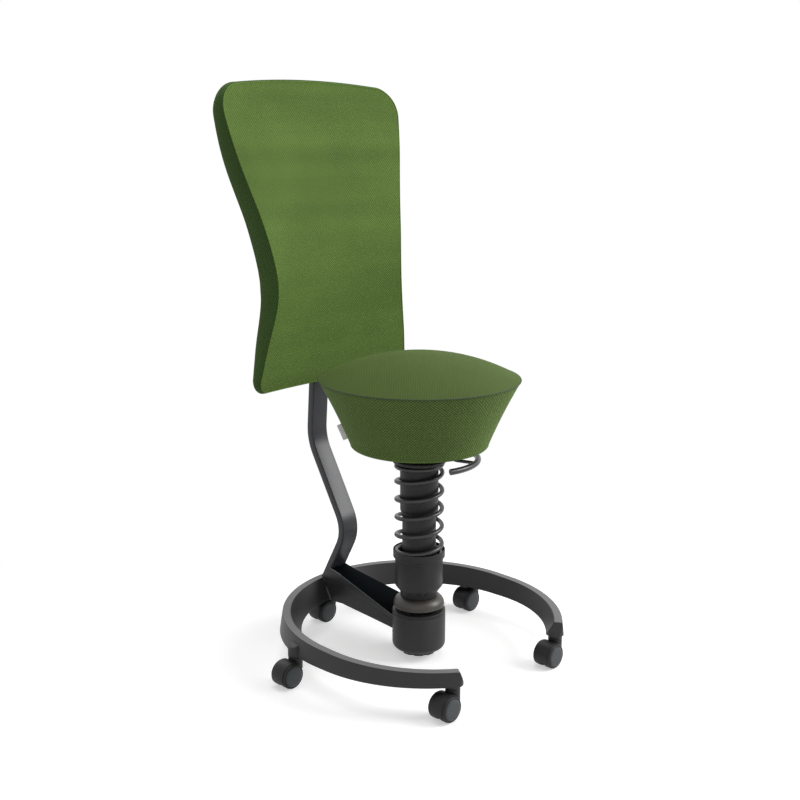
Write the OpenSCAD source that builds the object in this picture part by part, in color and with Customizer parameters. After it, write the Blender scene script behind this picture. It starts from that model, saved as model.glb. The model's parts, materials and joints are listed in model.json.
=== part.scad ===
// Balance stool with backrest: an open floor ring on five castors, a swaying sprung
// column with a lift inside, a round padded seat, and a tall pad on a bent stem.
// The origin is on the floor under the column. The ring opens towards -Y, the backrest is at +Y.

/* [Floor ring] */
// Outer radius of the ring's half circles at their top
ring_r = 274.5; // [250:0.5:300]
// Half of the straight run between the ring's half circles
ring_run = 13.4; // [0:0.2:30]
// How far the ring's middle lies ahead of the column
ring_lead = 8.2; // [0:0.2:15]
// Height of the underside of the ring's castor bosses above the floor
ring_z = 57; // [56:0.5:60]
// Height of the ring's top above its bosses' underside, at the column
ring_h = 39.2; // [35:0.2:45]
// Rise of the ring's own underside above its bosses, at the column
ring_rise = 3.3; // [3.1:0.1:5]
// Tilt of the ring's top, which rises to the rear
ring_tilt = 1.22; // [0:0.02:1.6]
// Tilt of the ring's underside, which falls to the rear
ring_foot_tilt = 0.6; // [0:0.02:0.64]
// Width of the ring's top
ring_top_w = 16.4; // [12:0.2:20]
// Spread of the ring's outer wall for each unit of depth
ring_lean_out = 0.14; // [0.05:0.01:0.25]
// Spread of the ring's inner wall for each unit of depth
ring_lean_in = 0.556; // [0.4:0.01:0.65]
// Angle from the front at which the foot of each arm of the ring ends
ring_end = 33.3; // [32.4:0.1:34]
// Slope of the ring's end faces
ring_end_slope = 26; // [10:1:30]
// Radius of the ring's top edges
ring_edge = 3; // [1:0.5:4]

/* [Castors] */
// Radius of a castor wheel
wheel_r = 25; // [20:0.5:26]
// Width of one wheel
wheel_w = 16; // [12:0.5:18]
// Gap between the two wheels of a castor
wheel_gap = 15; // [12:0.5:18]
// Distance from the swivel axis to the wheels' axle
castor_trail = 22; // [18:0.5:24]
// Distance of the front castors inside the ring's outer edge
castor_inset = 13.8; // [12:0.2:15]
// Distance of the rear castor inside the ring's outer edge
castor_back = 11.2; // [10:0.2:14]
// Distance of the side castors outside the ring's outer edge
castor_out = 1.5; // [0:0.1:3]
// Angle of the front castors from the front
castor_front = 36.9; // [36.2:0.1:38]
// Angle of the side castors from the front
castor_side = 105.9; // [95:0.1:115]
// Radius of the bosses that hold the side castors
side_boss_r = 14.5; // [13:0.1:16]
// Height of those bosses at the ring's wall
side_boss_h = 26; // [22:0.5:30]
// Radius of the castor stem
castor_stem_r = 5.5; // [4:0.5:6]
// Radius of the castor's neck
neck_r = 14; // [11:0.5:15]
// Radius of the wheel axle
axle_r = 4; // [3:0.5:5]

/* [Foot joint] */
// Outer radius of the foot cup
cup_r = 54.4; // [50:0.2:60]
// Height of the foot cup's underside
cup_z = 16; // [12:0.5:20]
// Height of the foot cup's rim
cup_top = 94; // [84:1:100]
// Height of the point that the column sways about
sway_z = 62; // [58:1:68]
// Radius of the rubber buffer
buffer_r = 42; // [36:0.5:44]
// Radius of the ball on the column's foot
ball_r = 24; // [20:0.5:28]
// Radius of the post above the ball
post_r = 17; // [12:0.5:18]
// Height of the threaded collar over the cup
collar_h = 6.5; // [5:0.5:9]
// Gap between the collar and the dome, which lets the column sway
sway_gap = 7; // [6.5:0.5:12]
// Radius of the rubber dome
dome_r = 52; // [46:0.5:56]
// Height of the rubber dome
dome_h = 20.5; // [16:0.5:26]
// Radius of the stiffness knob under the cup
knob_r = 41; // [34:0.5:46]
// Height of the stiffness knob
knob_h = 7; // [5:0.5:9]
// Number of notches in the knob
knob_notches = 12; // [8:1:16]

/* [Column] */
// Radius of the neck under the spring cup
spring_neck_r = 37.5; // [30:0.5:42]
// Radius of the spring cup's body
spring_cup_r = 48.6; // [44:0.2:54]
// Height of the spring cup's neck
spring_neck_h = 9; // [6:1:16]
// Height of the chamfer above the neck
spring_chamfer_h = 15; // [8:1:20]
// Height of the spring cup's straight body
spring_body_h = 60; // [40:1:70]
// Depth of the lip that holds the spring's foot
spring_lip_h = 15; // [8:1:20]
// Wall of that lip
spring_lip_wall = 1.9; // [1:0.1:4]
// Outer radius of the lower tube
tube_r = 34.2; // [30:0.2:36]
// Wall of the lower tube
tube_wall = 4.2; // [3:0.2:6]
// Outer radius of the upper sleeve
sleeve_r = 38.5; // [37.5:0.1:40]
// Length of the upper sleeve
sleeve_len = 103.5; // [80:0.5:120]
// Outer radius of the standpipe inside the tubes
standpipe_r = 25; // [22:0.5:26]
// Wall of the standpipe
standpipe_wall = 4; // [3:0.5:5]
// Radius of the lift's gas cylinder
gas_r = 14; // [12:0.5:16]
// Wall of the gas cylinder
gas_wall = 2; // [1.5:0.1:3]
// Radius of the gas rod
rod_r = 5; // [4:0.5:6]
// Height by which the lift raises the seat
lift_travel = 100; // [60:5:100]
// Depth by which the column bounces on its spring
bounce = 40; // [20:1:42]

/* [Spring] */
// Radius of the spring wire
wire_r = 4.5; // [3:0.1:5]
// Outer radius of the spring
spring_r = 50.4; // [48:0.2:52]
// Length of the spring between its two seats
spring_len = 198.7; // [186:0.1:206]
// Turns of the spring
spring_turns = 6.2; // [5:0.1:7]
// Turns at each end that lie nearly flat
spring_closed = 0.5; // [0.25:0.05:0.75]
// Angle at which the wire starts
spring_start = 261; // [0:1:359]

/* [Seat] */
// Radius of the seat at its piped rim
seat_r = 200; // [180:1:200]
// Height of the rim above the seat's underside
seat_rim_h = 137; // [120:1:160]
// Height of the crown above the rim
seat_crown = 51; // [30:1:60]
// Radius of the seat where its lower edge starts to round
seat_foot_r = 138; // [125:1:150]
// Radius of the seat's lower edge
seat_edge = 12; // [6:1:18]
// Draw of the seat's side inwards between rim and foot
seat_draw = 2.5; // [0:0.5:6]
// Radius of the piping at the rim
piping_r = 3; // [2:0.5:4]
// Radius of the board under the seat
board_r = 112; // [100:1:118]
// Thickness of the board under the seat
board_t = 12; // [8:1:16]

/* [Lift lever] */
// Radius of the lever's rod
lever_r = 4.6; // [3.5:0.1:5]
// Radius of the lever's curved handle about the column
lever_reach = 115.5; // [105:0.5:124]
// Angle by which the lever's arm is turned from the front
lever_turn = 47; // [20:1:60]
// Angle that the curved handle spans from its arm to its free end
lever_span = 64; // [40:1:75]
// Radius of the bend between the lever's arm and its handle
lever_bend = 13; // [9:0.5:18]
// Distance from the column to the lever's pivot
lever_pivot = 38; // [34:1:44]

/* [Backrest] */
// Height of the pad's foot above the floor
pad_z = 538; // [530:1:560]
// Height of the pad's top in its middle
pad_top = 1153; // [1050:1:1180]
// Fall of the pad's top from its middle to its corners
pad_arch = 9; // [0:1:20]
// Half width of the pad at its foot
pad_foot_w = 214; // [190:1:230]
// Half width of the pad at its waist
pad_waist_w = 176; // [150:1:190]
// Half width of the pad at its top
pad_top_w = 250; // [220:1:270]
// Radius of the pad's top corners
pad_corner = 62; // [30:1:80]
// Radius of the pad's foot corners
pad_foot_corner = 28; // [15:1:40]
// Hollow of the pad's front across its width
pad_hollow = 20; // [10:1:30]
// Thickness of the rear shell
shell_t = 7; // [5:0.5:9]
// Distance of the shell's edge inside the pad's edge
shell_inset = 12; // [8:1:20]
// Width of the stem's tube
stem_w = 40; // [34:1:44]
// Thickness of the stem's tube
stem_t = 16; // [14:0.5:19]
// Radius of the stem's corners
stem_edge = 5; // [2:0.5:6]
// Wall of the stem's tube
stem_wall = 2.5; // [2:0.5:4]
// Height at which the stem ends behind the pad
stem_top = 760; // [700:5:800]

/* [Clearances] */
// Gap of a running fit between a shaft and its hole
running = 0.06; // [0.02:0.01:0.1]
// Gap between pieces that pass each other
clear = 0.4; // [0.3:0.1:0.6]

/* [Hidden] */
tiny = 0.01;

// Places of the ring's section and of the castors
ring_rear_y = ring_run - ring_lead;
ring_fore_y = -ring_run - ring_lead;
ring_top = ring_z + ring_h;
ring_depth = ring_h + 10;
ring_out = ring_r + ring_lean_out * ring_depth;
ring_in = ring_r - ring_top_w - ring_lean_in * ring_depth;
ring_back_y = ring_rear_y + ring_r;
ring_back_top = ring_top + ring_back_y * tan(ring_tilt);
ring_back_foot = ring_z + ring_rise - (ring_rear_y + ring_in) * tan(ring_foot_tilt);
ring_back_in = ring_r - ring_top_w - ring_lean_in * (ring_back_top - ring_back_foot);
front_r = ring_r - castor_inset;
side_r = ring_r + castor_out;
castor_at = [
  [-front_r * sin(castor_front), ring_fore_y - front_r * cos(castor_front)],
  [front_r * sin(castor_front), ring_fore_y - front_r * cos(castor_front)],
  [-side_r * sin(castor_side), ring_rear_y - side_r * cos(castor_side)],
  [side_r * sin(castor_side), ring_rear_y - side_r * cos(castor_side)],
  [0, ring_back_y - castor_back]
];
boss_r = neck_r + 0.2;
boss_h = 9;
end_r = 20.5;
castor_stem_top = ring_z + 17;
castor_stem_foot = 40;
castor_hood_r = wheel_r + 3.6;
castor_hood_gap = 0.8;
castor_hood_half = wheel_gap / 2 + wheel_w * 0.55;
castor_web_half = wheel_gap / 2 - 0.7;
castor_half = wheel_gap / 2 + wheel_w;

// Heights of the foot joint and of the spring cup, from the floor up
collar_top = cup_top + collar_h;
dome_z = collar_top + sway_gap;
dome_top = dome_z + dome_h;
chamfer_z = dome_top + spring_neck_h;
body_z = chamfer_z + spring_chamfer_h;
lip_z = body_z + spring_body_h;
lip_top = lip_z + spring_lip_h;
plate_z = lip_z + spring_len;
plate_t = 5.7;
plate_top = plate_z + plate_t;
plate_rim_h = 1.5;
plate_rim_wall = 2;
post_top = body_z;
tube_z = body_z;
tube_top = plate_z - bounce - 14;
tube_bore = tube_r - tube_wall;
sleeve_z = plate_z - sleeve_len;

// Heights inside the column
pipe_bore = standpipe_r - standpipe_wall;
pipe_z = tube_z + bounce + 20;
pipe_floor = 4;
bush_h = 25;
slide_bush_h = 16;
bearing_h = 5;
bearing_r = 12;
shoulder_h = 4;
shoulder_r = 8;
bearing_z = pipe_z + pipe_floor;
rod_foot = pipe_z - 5;
piston_h = 8;
gas_z = bearing_z + bearing_h + shoulder_h + 8;
gas_cap = 8;
bracket_z = plate_top + 1.2;
bracket_t = 3;
bracket_h = 23.4;
seat_z = bracket_z + bracket_h;
board_z = seat_z + 8;
gas_top = bracket_z + 15;
piston_z = gas_z + gas_cap + lift_travel + 2;
lift_bush_h = 40;
pin_r = 3;
pin_top = gas_top + 6;
pin_foot = gas_top - 6;

// The bracket and the lever under the seat
bracket_half = 34;
bracket_len = 62;
bracket_flange = 16;
hub_r = 22;
lever_z = seat_z - 25;
pivot_z = bracket_z + 8;
pivot_r = 3;
tongue_z = pin_top + 0.3;
tongue_h = 3;

// Seat heights
rim_z = seat_z + seat_rim_h;
seat_top = rim_z + seat_crown;

// The arm from ring to cup: heights and half widths at its two ends
arm_y0 = 30;
arm_y1 = ring_back_y - 39.7;
arm_z0 = 86;
arm_z1 = 128;
arm_half0 = 44;
arm_half1 = stem_w / 2 + 0.3;
tenon_w = 29;
shoulder_z = arm_z1 + 2.2;
bolt_r = 3;
arm_band0 = 9;
arm_band1 = 27;
arm_foot0 = 55;
arm_foot1 = 54.6;
arm_step = 3;
arm_flare = 32;
arm_back = ring_back_y - 15.4;
arm_lap = 4.4;
arm_air = 60;

// The stem's middle line, [y, z, bend radius], from the arm up to behind the pad
stem_path = [
  [ring_back_y - 18.8, ring_back_top + 0.8, 0],
  [ring_back_y - 81.1, ring_back_top + 117.8, 75],
  [302, 402, 105],
  [291.5, 560, 300],
  [301.5, stem_top, 0]
];

// Curves of the pad, [height, value]: half width, front edge and rear edge
pad_mid_z = 740;
pad_width_at = [[pad_z - 5, pad_foot_w], [620, 198], [pad_mid_z, pad_waist_w], [860, 190.5],
                [1020, 229], [pad_top, pad_top_w]];
pad_front_at = [[pad_z, 240], [640, 225], [pad_mid_z, 213.8], [840, 226], [980, 261.4], [pad_top, 301]];
pad_rear_at = [[pad_z, 261], [640, 266], [pad_mid_z, 270], [860, 287], [980, 313], [1080, 321], [pad_top, 317]];
pad_cols = 16;
pad_rows = 22;
shell_cols = 12;
shell_rows = 14;
shell_hollow = 12;
pad_side = 3.5;
pad_seat = 0.6;
boss_half = 44;
boss_z0 = 585;
boss_z1 = 748;
clamp_t = 3;
clamp_ear = 18;
clamp_h = 120;
clamp_z = 608;

// Points of an arc about c, from angle a to angle b
function arc(c, r, a, b, n = 6) = [for (i = [0:n]) c + r * [cos(a + (b - a) * i / n), sin(a + (b - a) * i / n)]];

// Value at z of a smooth curve through [z, value] pairs
function slope(p, i) = let (a = max(i - 1, 0), b = min(i + 1, len(p) - 1)) (p[b][1] - p[a][1]) / (p[b][0] - p[a][0]);
function piece(p, z, i = 0) = i >= len(p) - 2 || z < p[i + 1][0] ? i : piece(p, z, i + 1);
function smooth(p, z) =
  let (i = piece(p, z), h = p[i + 1][0] - p[i][0], t = (z - p[i][0]) / h, m0 = slope(p, i) * h, m1 = slope(p, i + 1) * h)
  (2 * t * t * t - 3 * t * t + 1) * p[i][1] + (t * t * t - 2 * t * t + t) * m0
  + (3 * t * t - 2 * t * t * t) * p[i + 1][1] + (t * t * t - t * t) * m1;

// Section of the floor ring, radius against height, deeper than the ring; e grows it
function ring_section(e = 0) = concat(
  [[ring_out + e, ring_top - ring_depth - e]],
  arc([ring_r - ring_edge, ring_top - ring_edge], ring_edge + e, 8, 90, 4),
  arc([ring_r - ring_top_w + ring_edge, ring_top - ring_edge], ring_edge + e, 90, 151, 4),
  [[ring_in - e, ring_top - ring_depth - e]]);

// The two half circles and two straight runs of the ring.
// Thin collars, cut from the grown section, join the runs
ring_joint = 0.6;
ring_ease = 0.02;
module ring_sweep(section, collar) {
  front = 90 - ring_end + 3;
  translate([0, ring_rear_y, 0]) rotate_extrude(angle = 180, $fn = 180) polygon(section);
  for (s = [0, 1]) mirror([s, 0, 0]) {
    ring_run_at(ring_rear_y, 2 * ring_run) polygon(section);
    ring_run_at(ring_rear_y + ring_joint / 2, ring_joint) polygon(collar);
    ring_run_at(ring_fore_y + ring_joint / 2, ring_joint) polygon(collar);
    translate([0, ring_fore_y, 0]) rotate([0, 0, -front]) rotate_extrude(angle = front, $fn = 180) polygon(section);
  }
}

module ring_run_at(y, length) {
  translate([0, y, 0]) rotate([90, 0, 0]) linear_extrude(length) children();
}

// The ring's body: the sweep is tilted, its foot is cut off by a plane and its ends are rounded and sloped
module ring_body() {
  difference() {
    translate([0, 0, ring_top]) rotate([ring_tilt, 0, 0]) translate([0, 0, -ring_top])
      ring_sweep(ring_section(), ring_section(ring_ease));
    translate([0, 0, ring_z + ring_rise]) rotate([-ring_foot_tilt, 0, 0]) translate([-ring_r - 50, -ring_r - 50, -ring_z])
      cube([2 * ring_r + 100, 2 * ring_r + 100, ring_z]);
    for (s = [0, 1]) mirror([s, 0, 0]) translate([0, ring_fore_y, 0]) {
      rotate([0, 0, castor_front - 90]) difference() {
        translate([front_r - 50, -60, 0]) cube([100, 60, ring_top + 30]);
        translate([front_r, 0, -1]) cylinder(r = end_r, h = ring_top + 32, $fn = 96);
      }
      rotate([0, 0, ring_end - 90]) translate([front_r - 50, 0, ring_z + ring_rise]) rotate([-ring_end_slope, 0, 0])
        translate([0, -60, -ring_h]) cube([100, 60, 3 * ring_h]);
    }
  }
}

module castor_bosses() {
  for (i = [0, 1, 4]) castor_frame(i) translate([0, 0, ring_z]) cylinder(r = boss_r, h = boss_h, $fn = 64);
  for (i = [2, 3]) castor_frame(i) difference() {
    translate([0, 0, ring_z]) cylinder(r = side_boss_r, h = side_boss_h + 12, $fn = 64);
    rotate([0, 0, (i == 2 ? -1 : 1) * castor_side - 90]) translate([-castor_out, -30, ring_z + side_boss_h])
      rotate([0, 28, 0]) translate([-40, 0, 0]) cube([80, 60, 40]);
  }
}

module base_ring() {
  color("#4b4b4b") difference() {
    union() {
      ring_body();
      castor_bosses();
    }
    for (i = [0:4]) castor_frame(i) translate([0, 0, ring_z - 1])
      cylinder(r = castor_stem_r, h = castor_stem_top - ring_z + 1, $fn = 48);
  }
}

// Plan of the arm, grown inwards by step at its sides
module arm_plan(step, flare) {
  polygon([
    [-arm_half0 + step, arm_y0], [arm_half0 - step, arm_y0],
    [arm_half1 - step + 1, arm_y1 - 32], [arm_half1 - step, arm_y1 - 14],
    [flare, arm_back + 12], [-flare, arm_back + 12],
    [-arm_half1 + step, arm_y1 - 14], [-arm_half1 + step - 1, arm_y1 - 32]
  ]);
}

// A side profile, [y, z] points, made into a beam across the arm
module arm_beam(points) {
  rotate([90, 0, 90]) translate([0, 0, -arm_air]) linear_extrude(2 * arm_air) polygon(points);
}

module spoke_arm() {
  back = arm_back + 1;
  flare_y = ring_rear_y + sqrt(pow(ring_back_in, 2) - pow(arm_flare, 2));
  color("#3d3d3f") difference() {
    union() {
      intersection() {
        linear_extrude(arm_z1 + arm_air) arm_plan(0, arm_half1);
        arm_beam([[arm_y0, arm_z0], [arm_y1, arm_z1], [arm_y1 + 12, arm_z1 + 1], [back + 14, ring_back_top + arm_lap],
                  [back + 14, ring_back_top - 18], [back - 20, ring_back_top - 18], [arm_y1 - 20, arm_z1 - 4 - arm_band1],
                  [arm_y0, arm_z0 - arm_band0]]);
      }
      intersection() {
        linear_extrude(arm_z1 + arm_air) arm_plan(arm_step, arm_flare);
        arm_beam([[arm_y0, arm_foot0], [arm_y0, arm_z0 - arm_band0 + 1], [arm_y1 - 20, arm_z1 - 4 - arm_band1 + 1],
                  [back - 20, ring_back_top - 16], [back + 4, ring_back_top - 16], [back - 10, ring_back_foot + 8],
                  [flare_y - 0.5, ring_back_foot + 1], [flare_y - 5, arm_foot1]]);
      }
    }
    cylinder(r = cup_r, h = arm_z1 + arm_air, $fn = 96);
    stem_at(corner(0) - run_dir(0), heading(0)) linear_extrude(shoulder_z - corner(0)[1] + 40) square([tenon_w, stem_t], center = true);
    ring_body();
    stem_bolts_at() cylinder(r = bolt_r, h = 2 * arm_air, center = true, $fn = 32);
  }
}

module foot_cup() {
  color("#454547") difference() {
    rotate_extrude($fn = 128) polygon(concat(
      [[knob_r - 8, cup_z]],
      arc([cup_r - 13, cup_z + 13], 13, -80, 0, 6),
      [[cup_r, cup_top], [cup_r - 4, cup_top], [buffer_r + 4.5, cup_top - 4]],
      [[sqrt(pow(buffer_r + clear, 2) - pow(18, 2)), sway_z + 18]],
      arc([0, sway_z], buffer_r + clear, 25, -60, 16),
      [[8, sway_z - (buffer_r + clear) * sin(60)], [8, cup_z]]));
  }
}

module joint_collar() {
  color("#3a3a3c") rotate_extrude($fn = 128) polygon([
    [cup_r - 9, cup_top], [cup_r - 1, cup_top], [cup_r - 0.4, cup_top + 1], [cup_r - 0.6, collar_top - 1.6],
    [cup_r - 2.4, collar_top - 0.8], [cup_r - 12, collar_top], [cup_r - 14, collar_top - 1.5],
    [cup_r - 14, cup_top + 2]
  ]);
}

module buffer_ring() {
  color("#26241f") rotate_extrude($fn = 128) polygon(concat(
    arc([0, sway_z], buffer_r, -50, 24, 14),
    arc([0, sway_z], ball_r + clear, 40, -58, 14)));
}

module ball_foot() {
  color("#8d8d90") union() {
    intersection() {
      translate([0, 0, sway_z]) sphere(r = ball_r, $fn = 96);
      translate([0, 0, sway_z - 17]) cylinder(r = ball_r + 1, h = 60, $fn = 96);
    }
    translate([0, 0, sway_z + 8]) cylinder(r = post_r, h = post_top - sway_z - 8, $fn = 96);
  }
}

module joint_dome() {
  color("#3c3831") rotate_extrude($fn = 128) polygon(concat(
    [[post_r, dome_z + 2], [dome_r - 4, dome_z]],
    arc([dome_r - 1.6, dome_z + 1.6], 1.6, -80, 0, 3),
    [for (a = [0:10:80]) [spring_neck_r - 2 + (dome_r - spring_neck_r + 2) * cos(a), dome_z + 2 + (dome_h - 2) * sin(a)]],
    [[spring_neck_r - 2, dome_top], [post_r, dome_top]]));
}

module stiffness_knob() {
  color("#2f2f31") difference() {
    union() {
      rotate_extrude($fn = 96) polygon([
        [0, cup_z - knob_h], [knob_r - 7, cup_z - knob_h], [knob_r - 1, cup_z - knob_h + 3], [knob_r, cup_z - clear - 0.1],
        [0, cup_z - clear - 0.1]
      ]);
      cylinder(r = 8 - running, h = sway_z - buffer_r * sin(60) - 1.5, $fn = 64);
    }
    translate([0, 0, -tiny]) cylinder(r = 20, h = cup_z - knob_h + tiny, $fn = 48);
    for (i = [0:knob_notches - 1]) rotate([0, 0, i * 360 / knob_notches])
      translate([knob_r + 1.5, 0, 0]) cylinder(r = 5, h = cup_z, $fn = 32);
  }
}

module spring_cup() {
  color("#454547") rotate_extrude($fn = 128) polygon([
    [post_r, dome_top], [spring_neck_r, dome_top], [spring_neck_r, chamfer_z], [spring_cup_r, body_z],
    [spring_cup_r, lip_z - 3], [spring_r + 0.4 + spring_lip_wall, lip_z],
    [spring_r + 0.4 + spring_lip_wall, lip_top], [spring_r + 0.4, lip_top], [spring_r + 0.4, lip_z],
    [tube_r, lip_z], [tube_r, tube_z], [post_r, tube_z]
  ]);
}

module tube_node(r_out, r_in, z0, z1) {
  translate([0, 0, z0]) difference() {
    cylinder(r = r_out, h = z1 - z0, $fn = 96);
    translate([0, 0, -1]) cylinder(r = r_in, h = z1 - z0 + 2, $fn = 96);
  }
}

module lower_tube() {
  color("#3f3f41") tube_node(tube_r, tube_bore, tube_z, tube_top);
}

module guide_bush() {
  color("#d8d4c8") tube_node(tube_bore, standpipe_r + running, tube_top - bush_h, tube_top);
}

// Helix of the spring: nearly flat for spring_closed turns at each end, even in between
spring_ease = 0.5;
wire_gap = 0.8;
flat_pitch = 2 * wire_r + wire_gap;
spring_mid_r = spring_r - wire_r;
spring_rise = spring_len - 2 * wire_r;
open_turns = spring_turns - 2 * spring_closed - spring_ease;
open_extra = (spring_rise - flat_pitch * spring_turns) / open_turns;
function ramp(x) = x <= 0 ? 0 : x >= spring_ease ? x - spring_ease / 2 : x * x / (2 * spring_ease);
function wire_z(t) = lip_z + wire_r + flat_pitch * t
  + open_extra * (ramp(t - spring_closed) - ramp(t - (spring_turns - spring_closed - spring_ease)));
function wire_at(t) = let (a = spring_start + 360 * t)
  [spring_mid_r * cos(a), spring_mid_r * sin(a), wire_z(t)];
wire_rings_per_turn = 16;
wire_sides = 6;
wire_rings = round(spring_turns * wire_rings_per_turn);
function unit(v) = v / norm(v);
function wire_ring(i) = let (
    t = spring_turns * i / wire_rings,
    c = wire_at(t),
    out = unit([c[0], c[1], 0]),
    along = unit(wire_at(min(t + 0.01, spring_turns)) - wire_at(max(t - 0.01, 0))),
    up = unit(cross(along, out)))
  [for (k = [0:wire_sides - 1]) c + wire_r * (cos(360 * k / wire_sides) * out + sin(360 * k / wire_sides) * up)];
wire_points = [for (i = [0:wire_rings]) each wire_ring(i)];
wire_faces = concat(
  [[for (k = [0:wire_sides - 1]) k]],
  [for (i = [0:wire_rings - 1]) for (k = [0:wire_sides - 1]) let (
      a = i * wire_sides + k, b = i * wire_sides + (k + 1) % wire_sides)
    each [[a, a + wire_sides, b], [b, a + wire_sides, b + wire_sides]]],
  [[for (k = [wire_sides - 1:-1:0]) wire_rings * wire_sides + k]]);
wire_steps = 6 * wire_rings_per_turn;
least_turn_gap = min([for (i = [0:wire_steps]) for (d = [0.8:0.1:1.2])
  let (t = (spring_turns - d) * i / wire_steps) norm(wire_at(t + d) - wire_at(t)) - 2 * wire_r]);
echo(least_gap_between_turns_mm = least_turn_gap);  // coil_spring

module coil_spring() {
  color("#4a4a4c") polyhedron(points = wire_points, faces = wire_faces);
}

module upper_sleeve() {
  color("#333335") rotate_extrude($fn = 128) polygon([
    [tube_r + running, sleeve_z], [sleeve_r - 1.6, sleeve_z], [sleeve_r, sleeve_z + 2.5],
    [sleeve_r, plate_z], [tube_r + running, plate_z]
  ]);
}

module spring_plate() {
  rim = spring_r + 0.6;
  color("#3a3a3c") rotate_extrude($fn = 128) polygon([
    [pipe_bore, plate_z], [rim, plate_z], [rim, plate_z - plate_rim_h], [rim + plate_rim_wall, plate_z - plate_rim_h],
    [rim + plate_rim_wall, plate_top - 2], [rim + plate_rim_wall - 2, plate_top], [pipe_bore, plate_top]
  ]);
}

module standpipe() {
  color("#9a9a9c") rotate_extrude($fn = 96) polygon([
    [rod_r + running, pipe_z], [standpipe_r, pipe_z], [standpipe_r, plate_z], [pipe_bore, plate_z],
    [pipe_bore, bearing_z], [rod_r + running, bearing_z]
  ]);
}

module slide_bush() {
  color("#d8d4c8") tube_node(tube_bore - running, standpipe_r, pipe_z, pipe_z + slide_bush_h);
}

module lift_bush() {
  color("#d8d4c8") tube_node(pipe_bore, gas_r + running, plate_top - lift_bush_h, plate_top);
}

module rod_bearing() {
  color("#b9bbbd") tube_node(bearing_r, rod_r + running, bearing_z, bearing_z + bearing_h);
}

module gas_rod() {
  color("#c4c6c8") union() {
    translate([0, 0, rod_foot]) cylinder(r = rod_r, h = piston_z + piston_h - rod_foot, $fn = 64);
    translate([0, 0, bearing_z + bearing_h + clear]) cylinder(r = shoulder_r, h = shoulder_h, $fn = 64);
    translate([0, 0, piston_z]) cylinder(r = gas_r - gas_wall - running, h = piston_h, $fn = 64);
  }
}

module gas_cylinder() {
  bore = gas_r - gas_wall;
  color("#7d7f82") rotate_extrude($fn = 96) polygon([
    [rod_r + running, gas_z], [gas_r, gas_z], [gas_r, gas_top], [pin_r + running, gas_top],
    [pin_r + running, gas_top - gas_cap], [bore, gas_top - gas_cap], [bore, gas_z + gas_cap],
    [rod_r + running, gas_z + gas_cap]
  ]);
}

module valve_pin() {
  color("#d0d2d4") translate([0, 0, pin_foot]) cylinder(r = pin_r, h = pin_top - pin_foot, $fn = 48);
}

// Pressed bracket under the seat: floor, two walls, two flanges, hub for the gas cylinder
module seat_bracket() {
  color("#3b3b3d") rotate([0, 0, lever_turn]) difference() {
    union() {
      translate([-bracket_half, -bracket_len, bracket_z]) cube([2 * bracket_half, 2 * bracket_len - 20, bracket_t]);
      for (s = [-1, 1]) {
        translate([s > 0 ? bracket_half - bracket_t : -bracket_half, -bracket_len, bracket_z])
          cube([bracket_t, 2 * bracket_len - 20, board_z - bracket_z]);
        translate([s > 0 ? bracket_half - tiny : -bracket_half - bracket_flange + tiny, -bracket_len, board_z - bracket_t])
          cube([bracket_flange, 2 * bracket_len - 20, bracket_t]);
      }
      translate([0, 0, bracket_z]) cylinder(r = hub_r, h = gas_top - bracket_z, $fn = 96);
    }
    translate([0, 0, bracket_z - 1]) cylinder(r = gas_r, h = 60, $fn = 96);
    translate([-60, -lever_pivot, pivot_z]) rotate([0, 90, 0]) cylinder(r = pivot_r, h = 120, $fn = 48);
    translate([-lever_r - 6, -bracket_len - 1, bracket_z - 1]) cube([2 * lever_r + 12, bracket_len - hub_r - 6, bracket_t + 2]);
    screw_places() translate([0, 0, board_z - bracket_t - 1]) cylinder(r = 3.2, h = bracket_t + 2, $fn = 32);
  }
}

module screw_places() {
  for (sx = [-1, 1]) for (y = [-bracket_len + 12, bracket_len - 32])
    translate([sx * (bracket_half + bracket_flange / 2), y, 0]) children();
}

module seat_screws() {
  color("#202022") rotate([0, 0, lever_turn]) screw_places() union() {
    translate([0, 0, board_z - bracket_t]) cylinder(r = 3.2, h = bracket_t + board_t * 0.7, $fn = 32);
    translate([0, 0, board_z - bracket_t - 3.4]) cylinder(r = 5.6, h = 3.4, $fn = 32);
  }
}

module seat_board() {
  color("#2b2b2b") difference() {
    translate([0, 0, board_z]) cylinder(r = board_r, h = board_t, $fn = 128);
    rotate([0, 0, lever_turn]) screw_places() translate([0, 0, board_z - 1]) cylinder(r = 3.2, h = board_t * 0.7 + 1, $fn = 32);
  }
}

module seat_cushion() {
  cap_r = (seat_r * seat_r + seat_crown * seat_crown) / (2 * seat_crown);
  cap_half = asin((seat_r - piping_r) / cap_r);
  color("#5b7a3a") rotate_extrude($fn = 160) polygon(concat(
    [[0, board_z + board_t], [board_r, board_z + board_t], [board_r, seat_z]],
    arc([seat_foot_r - seat_edge * 0.9, seat_z + seat_edge], seat_edge, -88, -22, 5),
    [for (t = [0:0.125:1]) side_point(t)],
    arc([seat_r - piping_r, rim_z], piping_r, -50, 80, 5),
    [for (a = [cap_half:-cap_half / 14:0.01]) [cap_r * sin(a), rim_z + seat_crown - cap_r * (1 - cos(a))]],
    [[0, seat_top]]));
}

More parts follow.
